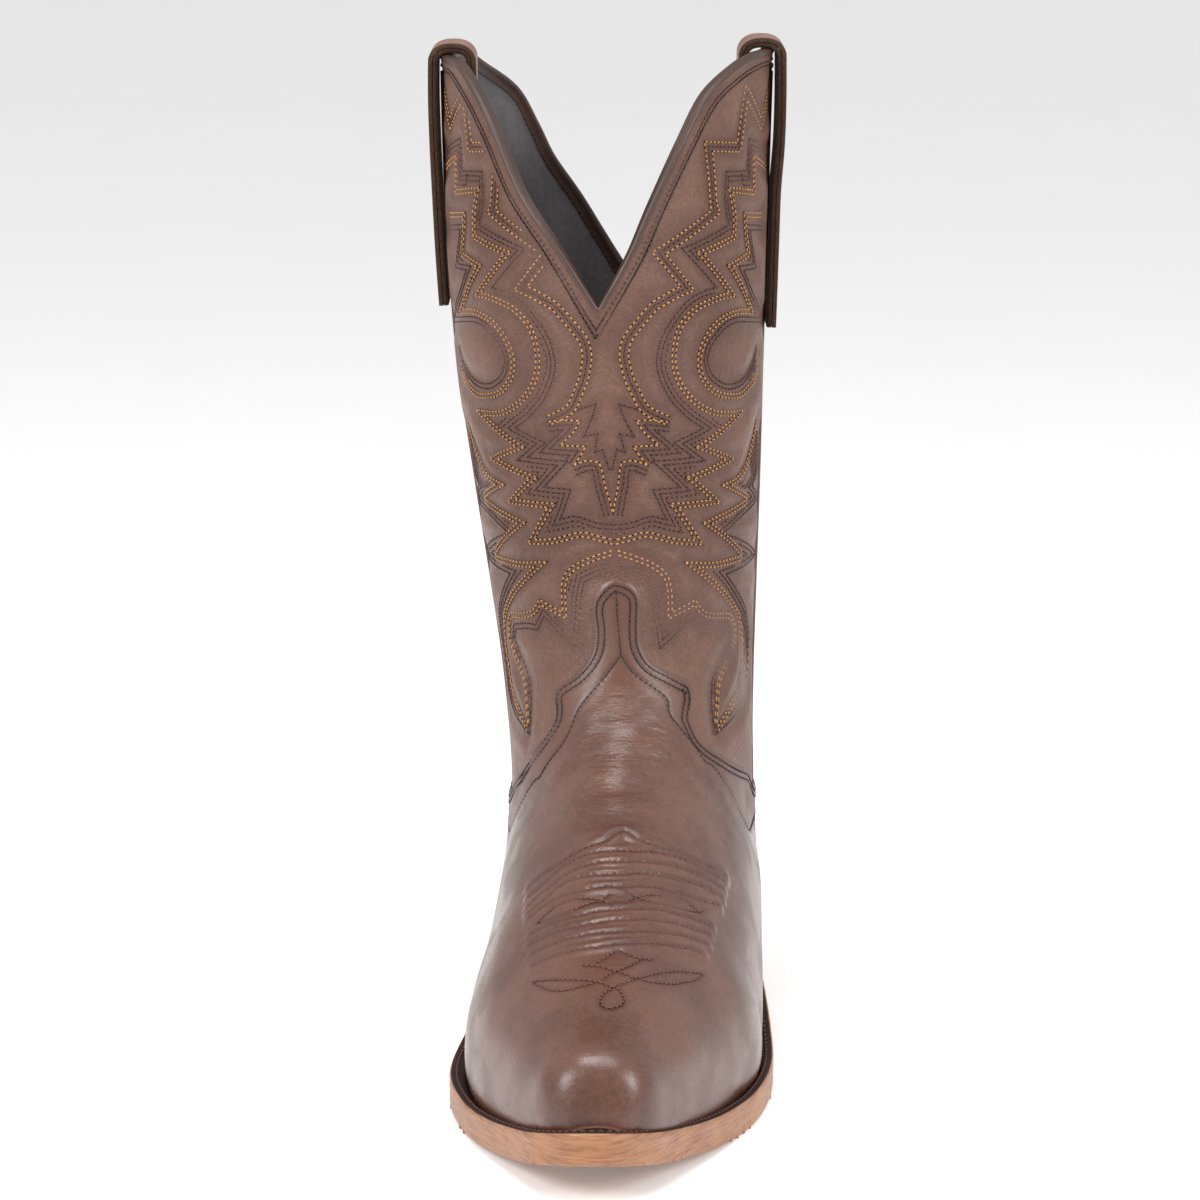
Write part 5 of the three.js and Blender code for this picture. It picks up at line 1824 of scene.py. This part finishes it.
def upper_outline():
    """Where the finished upper meets the welt, as plan points."""
    def skin(v, angle):
        return form_point(v, angle) + form_normal(v, angle) * COVER_TOP

    def proud(v, angle):
        p = skin(v, angle)
        return p[:, 2] > sole_top(p[:, 1]) + WELT_TOUCH

    spots = []
    v = np.linspace(8.6, LAST + 0.85, 260)
    for sign in (-1, 1):
        lo, _ = halved(np.full(v.shape, 1.3 * sign), np.full(v.shape, math.pi * sign),
                       lambda mid: proud(v, mid))
        spots.append(skin(v, lo)[:, :2])
    back = np.linspace(2.0, 2 * math.pi - 2.0, 200)
    lo, _ = halved(np.full(back.shape, 6.0), np.full(back.shape, 9.6),
                   lambda mid: proud(mid, back))
    spots.append(skin(lo, back)[:, :2])
    return np.vstack(spots)


class BOOT_OT_welt(bpy.types.Operator):
    """Lays the welt and heel rand round the upper, wheels their edge and stitches the welt"""
    bl_idname = "boot.welt"
    bl_label = "Welt and rand"

    def execute(self, context):
        ring = closed_curve(SOLE_EDGE, 1.0)
        way = inward_of(ring)
        inner = upper_outline()
        tree = tree_of(inner)
        reach = np.array([tree.find((x, y, 0))[2] for x, y in ring])
        kernel = np.ones(9) / 9
        reach = np.convolve(np.r_[reach[-4:], reach, reach[:4]], kernel, "valid")
        reach = np.clip(reach - 0.15, 1.2, 40)
        run = run_along(ring)
        wheel = 0.16 * np.sin(run * 2 * math.pi / 2.0)
        top = sole_top(ring[:, 1])
        profile = np.zeros((len(ring), 10, 2))
        for k, (w, h) in enumerate(((0.0, 0.0), (0.0, 0.8), (-0.05, 2.4), (0.5, 3.3),
                                    (1.3, 3.5), (3.0, 3.5), (None, 3.2), (-1, 1.9),
                                    (-1, 0.0), (-2, 0.0))):
            width = {None: reach * 0.72, -1: reach, -2: reach * 0.5}.get(w, w)
            profile[:, k, 0] = np.minimum(width, reach)
            profile[:, k, 1] = h
        profile[:, 2, 1] += wheel * 0.3
        profile[:, 3, 1] += wheel
        profile[:, 4, 1] += wheel * 1.2
        profile[:, 5, 1] += wheel * 0.5
        centres = np.c_[ring, top]
        first = np.c_[way, np.zeros(len(ring))]
        up = np.broadcast_to(np.array([0.0, 0.0, 1.0]), centres.shape)
        heel = ring[:, 1] > BREAST - 4
        tree_edge = tree_of(ring)
        order = np.arange(len(ring))
        start = next(i for i in order if heel[i] and not heel[i - 1])
        order = np.roll(order, -start)
        count = int(heel.sum())
        for name, part in (("heel_rand", order[:count]), ("welt", order[count:])):
            ob = swept(f"{name}_strip", (centres[part], first[part], up[part]),
                       profile[part])
            shade(ob, 55)
            ob.data.materials.append(MATERIALS["welt_hide"])
            ob.data.materials.append(MATERIALS["sole_leather"])
            for face in ob.data.polygons:
                x, y, _ = np.array(face.center) / MM
                if abs(face.normal.z) < 0.75 and tree_edge.find((x, y, 0))[2] < 0.75:
                    face.material_index = 1
            deliver(ob, [name])
        line = order[count:]
        path = centres[line] + first[line] * 2.6 + up[line] * 3.55
        spots = resampled(path, store()[0].welt_pitch / MM)
        a, b = spots[:-1], spots[1:]
        n = np.broadcast_to(np.array([0.0, 0.0, 1.0]), a.shape)
        repeated("welt_stitching", "stitch", (a + b) / 2, b - a, n, (2.35, 0.95, 0.7),
                 MATERIALS["plum_thread"])
        # dark drops painted as the shade inside each welt needle hole
        repeated("welt_stitching_holes", "hole", a + n * -0.02, b - a, n, (1.0, 0.9, 0.3),
                 MATERIALS["needle_hole_shade"])
        return {"FINISHED"}


def slab_piece(name, ring, heights):
    """A sole layer: its outline filled, sliced across, drawn down and its edge dressed."""
    clear_bench()
    bpy.ops.mesh.primitive_circle_add(vertices=len(ring), radius=0.1, fill_type="NGON")
    ob = take(name)
    co = coordinates(ob)
    turn = np.arctan2(co[:, 1], co[:, 0])
    order = np.argsort(turn)
    plan = np.zeros((len(ring), 3))
    line = ring if turns_left(ring) else ring[::-1]
    plan[order, :2] = line
    place(ob, plan)
    bpy.ops.object.mode_set(mode="EDIT")
    for y in np.arange(line[:, 1].min() + 5, line[:, 1].max() - 3, 6.0):
        bpy.ops.mesh.select_all(action="SELECT")
        bpy.ops.mesh.bisect(plane_co=(0, y * MM, 0), plane_no=(0, 1, 0))
    bpy.ops.mesh.select_all(action="SELECT")
    bpy.ops.mesh.extrude_region_move(TRANSFORM_OT_translate={"value": (0, 0, -0.05)})
    bpy.ops.object.mode_set(mode="OBJECT")
    bm = bmesh.new()
    bm.from_mesh(ob.data)
    sides = [e for e in bm.edges if abs(e.verts[0].co.z - e.verts[1].co.z) > 0.04]
    bmesh.ops.subdivide_edges(bm, edges=sides, cuts=len(heights) - 2, use_grid_fill=False)
    ring_in = inward_of(line)
    tree = tree_of(line)
    steps = len(heights) - 1
    for v in bm.verts:
        k = int(round(-v.co.z / 0.05 * steps))
        depth, pull = heights[k]
        x, y = v.co.x / MM, v.co.y / MM
        _, i, gap = tree.find((x, y, 0))
        if gap < 0.6:
            x += ring_in[i, 0] * pull
            y += ring_in[i, 1] * pull
        z = float(sole_top(np.array(y)))
        v.co = (x * MM, y * MM, (z - depth) * MM)
    bm.normal_update()
    bm.to_mesh(ob.data)
    bm.free()
    face_out(ob)
    shade(ob, 40)
    return ob


class BOOT_OT_outsole(bpy.types.Operator):
    """Cuts the leather outsole and dresses its edge"""
    bl_idname = "boot.outsole"
    bl_label = "Outsole"

    def execute(self, context):
        ring = closed_curve(SOLE_EDGE, 1.6)
        edge = [(0.0, 0.0), (0.35, 0.0), (1.2, 0.0), (2.6, 0.05), (4.2, 0.1), (5.6, 0.1),
                (6.6, 0.25), (7.2, 0.6), (7.5, 1.3)]
        ob = slab_piece("outsole_leather", ring, edge)
        deliver(ob, ["outsole"], MATERIALS["sole_leather"])
        return {"FINISHED"}


HEEL_SEAT = [(-37, -24), (-35.5, 5), (-29, 27), (-15.5, 39), (0, 42), (15.5, 39), (29.5, 27),
             (37, 5), (39.8, -24)]


def heel_ring(z):
    """Plan outline of the heel block at a height: breast corners and a round back."""
    run = np.vstack(soften(HEEL_SEAT, step=1.2, corner=179))
    seat = np.vstack([[(-37.2, -28.8)], run, [(40.2, -28.8)]])
    t = (seat[:, 1] + 28.8) / 70.8
    tread = np.stack([seat[:, 0] * 0.78, -27 + t * 55], 1)
    f = z / HEEL_HEIGHT
    bow = 1.6 * math.sin(math.pi * f)
    plan = tread + (seat - tread) * f
    k = 1 - bow / 45
    out = np.stack([plan[:, 0] * k, (plan[:, 1] - 2) * np.where(seat[:, 1] > 0, k, 1) + 2], 1)
    across = np.linspace(out[-1], out[0], 26)[1:-1]
    across[:, 1] += 2.2 * np.sin(np.linspace(0, math.pi, 24))
    return np.vstack([out, across])


class BOOT_OT_heel(bpy.types.Operator):
    """Builds the heel from leather lifts on a rubber cap"""
    bl_idname = "boot.heel"
    bl_label = "Heel"

    def execute(self, context):
        pitch = (HEEL_HEIGHT - 0.3 - TREAD_CAP) / 4
        layers = [("heel_cap", 0.0, TREAD_CAP, "heel_rubber")]
        for i in range(4):
            low = TREAD_CAP + i * pitch + 0.3
            layers.append((f"heel_lift_{i + 1}", low, low + pitch - 0.3, "heel_leather"))
        for name, low, high, finish in layers:
            count = len(heel_ring(low))
            clear_bench()
            bpy.ops.mesh.primitive_circle_add(vertices=count, radius=0.1, fill_type="NGON")
            ob = take(f"{name}_block")
            bpy.ops.object.mode_set(mode="EDIT")
            bpy.ops.mesh.select_all(action="SELECT")
            steps = 7
            for _ in range(steps - 1):
                bpy.ops.mesh.extrude_region_move(
                    TRANSFORM_OT_translate={"value": (0, 0, 0.01)})
            bpy.ops.object.mode_set(mode="OBJECT")
            co = coordinates(ob)
            level = np.rint(co[:, 2] / 0.01).astype(int)
            spots = np.zeros_like(co)
            heights = (0.0, 0.12, 0.45, (high - low) / 2, high - low - 0.45,
                       high - low - 0.12, high - low)
            pulls = (0.5, 0.15, 0.0, -0.06, 0.0, 0.15, 0.5)
            for k in range(steps):
                ids = np.nonzero(level == k)[0]
                ids = ids[np.argsort(np.arctan2(co[ids, 1], co[ids, 0]))]
                ring = heel_ring(low + heights[k])
                ring = ring if turns_left(ring) else ring[::-1]
                ring = ring + inward_of(ring) * pulls[k]
                spots[ids, :2] = ring
                spots[ids, 2] = low + heights[k]
            place(ob, spots)
            face_out(ob)
            shade(ob, 35)
            deliver(ob, [name], MATERIALS[finish])
        return {"FINISHED"}


class BOOT_OT_inside(bpy.types.Operator):
    """Gives every carried part inside and under the boot its finish"""
    bl_idname = "boot.inside"
    bl_label = "Inner parts"

    def execute(self, context):
        plan = {
            "vamp_interlining": "canvas", "toe_puff": "stiff_board",
            "heel_stiffener": "stiff_board", "foot_lining": "foot_lining_hide",
            "heel_lining": "foot_lining_hide", "insole_board": "pressed_board",
            "sock_lining": "sock_felt", "cork_filler": "cork", "steel_shank": "shank_steel",
        }
        plan.update({f"wood_peg_{i + 1}": "peg_wood" for i in range(8)})
        plan.update({f"heel_nail_{i + 1}": "brass" for i in range(6)})
        for node, finish in plan.items():
            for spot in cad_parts[node].material_slots:
                spot.material = MATERIALS[finish]
        return {"FINISHED"}


CAMERA_SPOT = (-0.0098, -1.78, 0.475)   # m
CAMERA_DIP = 10.49                      # degrees below level
CAMERA_LENS = 4877 * 36 / 1200          # mm on a 36 mm sensor


class BOOT_OT_stage(bpy.types.Operator):
    """Sets out the floor, the soft lights and the camera"""
    bl_idname = "boot.stage"
    bl_label = "Stage"

    def execute(self, context):
        clear_bench()
        bpy.ops.mesh.primitive_plane_add(size=30, location=(0, 0, 0))
        floor = take("studio_floor")
        colour = store()[1].floor
        mat, tree, shader, place = blank("studio_floor", 0.9, specular=0.1)
        fleck = use(tree, "fleck", place, Size=0.01, Colour=(*colour, 1),
                    Other=(*[c * 0.99 for c in colour], 1))
        link(tree, fleck.outputs["Colour"], shader.inputs["Base Color"])
        shader.inputs["Emission Color"].default_value = (1, 1, 1, 1)
        shader.inputs["Emission Strength"].default_value = 0.17
        floor.data.materials.append(mat)
        world = bpy.data.worlds.new("studio_air")
        bpy.context.scene.world = world
        world.use_nodes = True
        tree = world.node_tree
        where = add(tree, "ShaderNodeTexCoord").outputs["Generated"]
        split = add(tree, "ShaderNodeSeparateXYZ")
        link(tree, where, split.inputs[0])
        sides = mapped(tree, sums(tree, "ABSOLUTE", split.outputs["X"], 0.0), 0.15, 0.8,
                       0.26, 0.82)
        tops = mapped(tree, split.outputs["Z"], 0.35, 0.95, 0.0, 0.35)
        tree.nodes["Background"].inputs[0].default_value = (1, 1, 1, 1)
        link(tree, sums(tree, "ADD", sides, tops), tree.nodes["Background"].inputs[1])
        for name, spot, aim, size, watts in (
                ("left_softbox", (-1.1, -1.3, 1.15), (0, -0.08, 0.16), 0.7, 20),
                ("right_softbox", (1.25, -1.1, 1.0), (0, -0.08, 0.16), 0.7, 14),
                ("top_softbox", (0.0, -0.45, 1.7), (0, -0.1, 0.1), 0.7, 12)):
            data = bpy.data.lights.new(name, "AREA")
            data.shape, data.size, data.energy = "SQUARE", size, watts
            ob = bpy.data.objects.new(name, data)
            bpy.context.scene.collection.objects.link(ob)
            ob.location = spot
            ob.rotation_euler = (Vector(aim) - Vector(spot)).to_track_quat("-Z", "Y").to_euler()
        lens = bpy.data.cameras.new("front_camera")
        lens.sensor_width = 36.0
        lens.lens = CAMERA_LENS
        lens.clip_start, lens.clip_end = 0.05, 100
        cam = bpy.data.objects.new("front_camera", lens)
        bpy.context.scene.collection.objects.link(cam)
        cam.location = CAMERA_SPOT
        cam.rotation_euler = (math.radians(90 - CAMERA_DIP), 0, 0)
        bpy.context.scene.camera = cam
        scene = bpy.context.scene
        scene.view_settings.view_transform = "Standard"
        return {"FINISHED"}


STEPS = [BOOT_OT_finishes, BOOT_OT_shaft, BOOT_OT_vamp, BOOT_OT_counter, BOOT_OT_linings,
         BOOT_OT_collar, BOOT_OT_piping, BOOT_OT_straps, BOOT_OT_welt, BOOT_OT_outsole,
         BOOT_OT_heel, BOOT_OT_inside, BOOT_OT_stage]


class BOOT_PT_maker(bpy.types.Panel):
    """Sizes, colours and the steps of making the boot"""
    bl_label = "Cowboy Boot"
    bl_idname = "BOOT_PT_maker"
    bl_space_type = "VIEW_3D"
    bl_region_type = "UI"
    bl_category = "Boot"

    def draw(self, context):
        column = self.layout.column()
        for item in (context.scene.boot_sizes, context.scene.boot_colours):
            for key in item.__annotations__:
                column.prop(item, key)
        for step in STEPS:
            column.operator(step.bl_idname)


CLASSES = [BootSizes, BootColours, *STEPS, BOOT_PT_maker]


def register():
    for item in CLASSES:
        bpy.utils.register_class(item)
    bpy.types.Scene.boot_sizes = bpy.props.PointerProperty(type=BootSizes)
    bpy.types.Scene.boot_colours = bpy.props.PointerProperty(type=BootColours)


def unregister():
    del bpy.types.Scene.boot_colours
    del bpy.types.Scene.boot_sizes
    for item in reversed(CLASSES):
        bpy.utils.unregister_class(item)


def main():
    register()
    for step in STEPS:
        getattr(bpy.ops.boot, step.bl_idname.split(".")[1])()


if __name__ == "__main__":
    main()
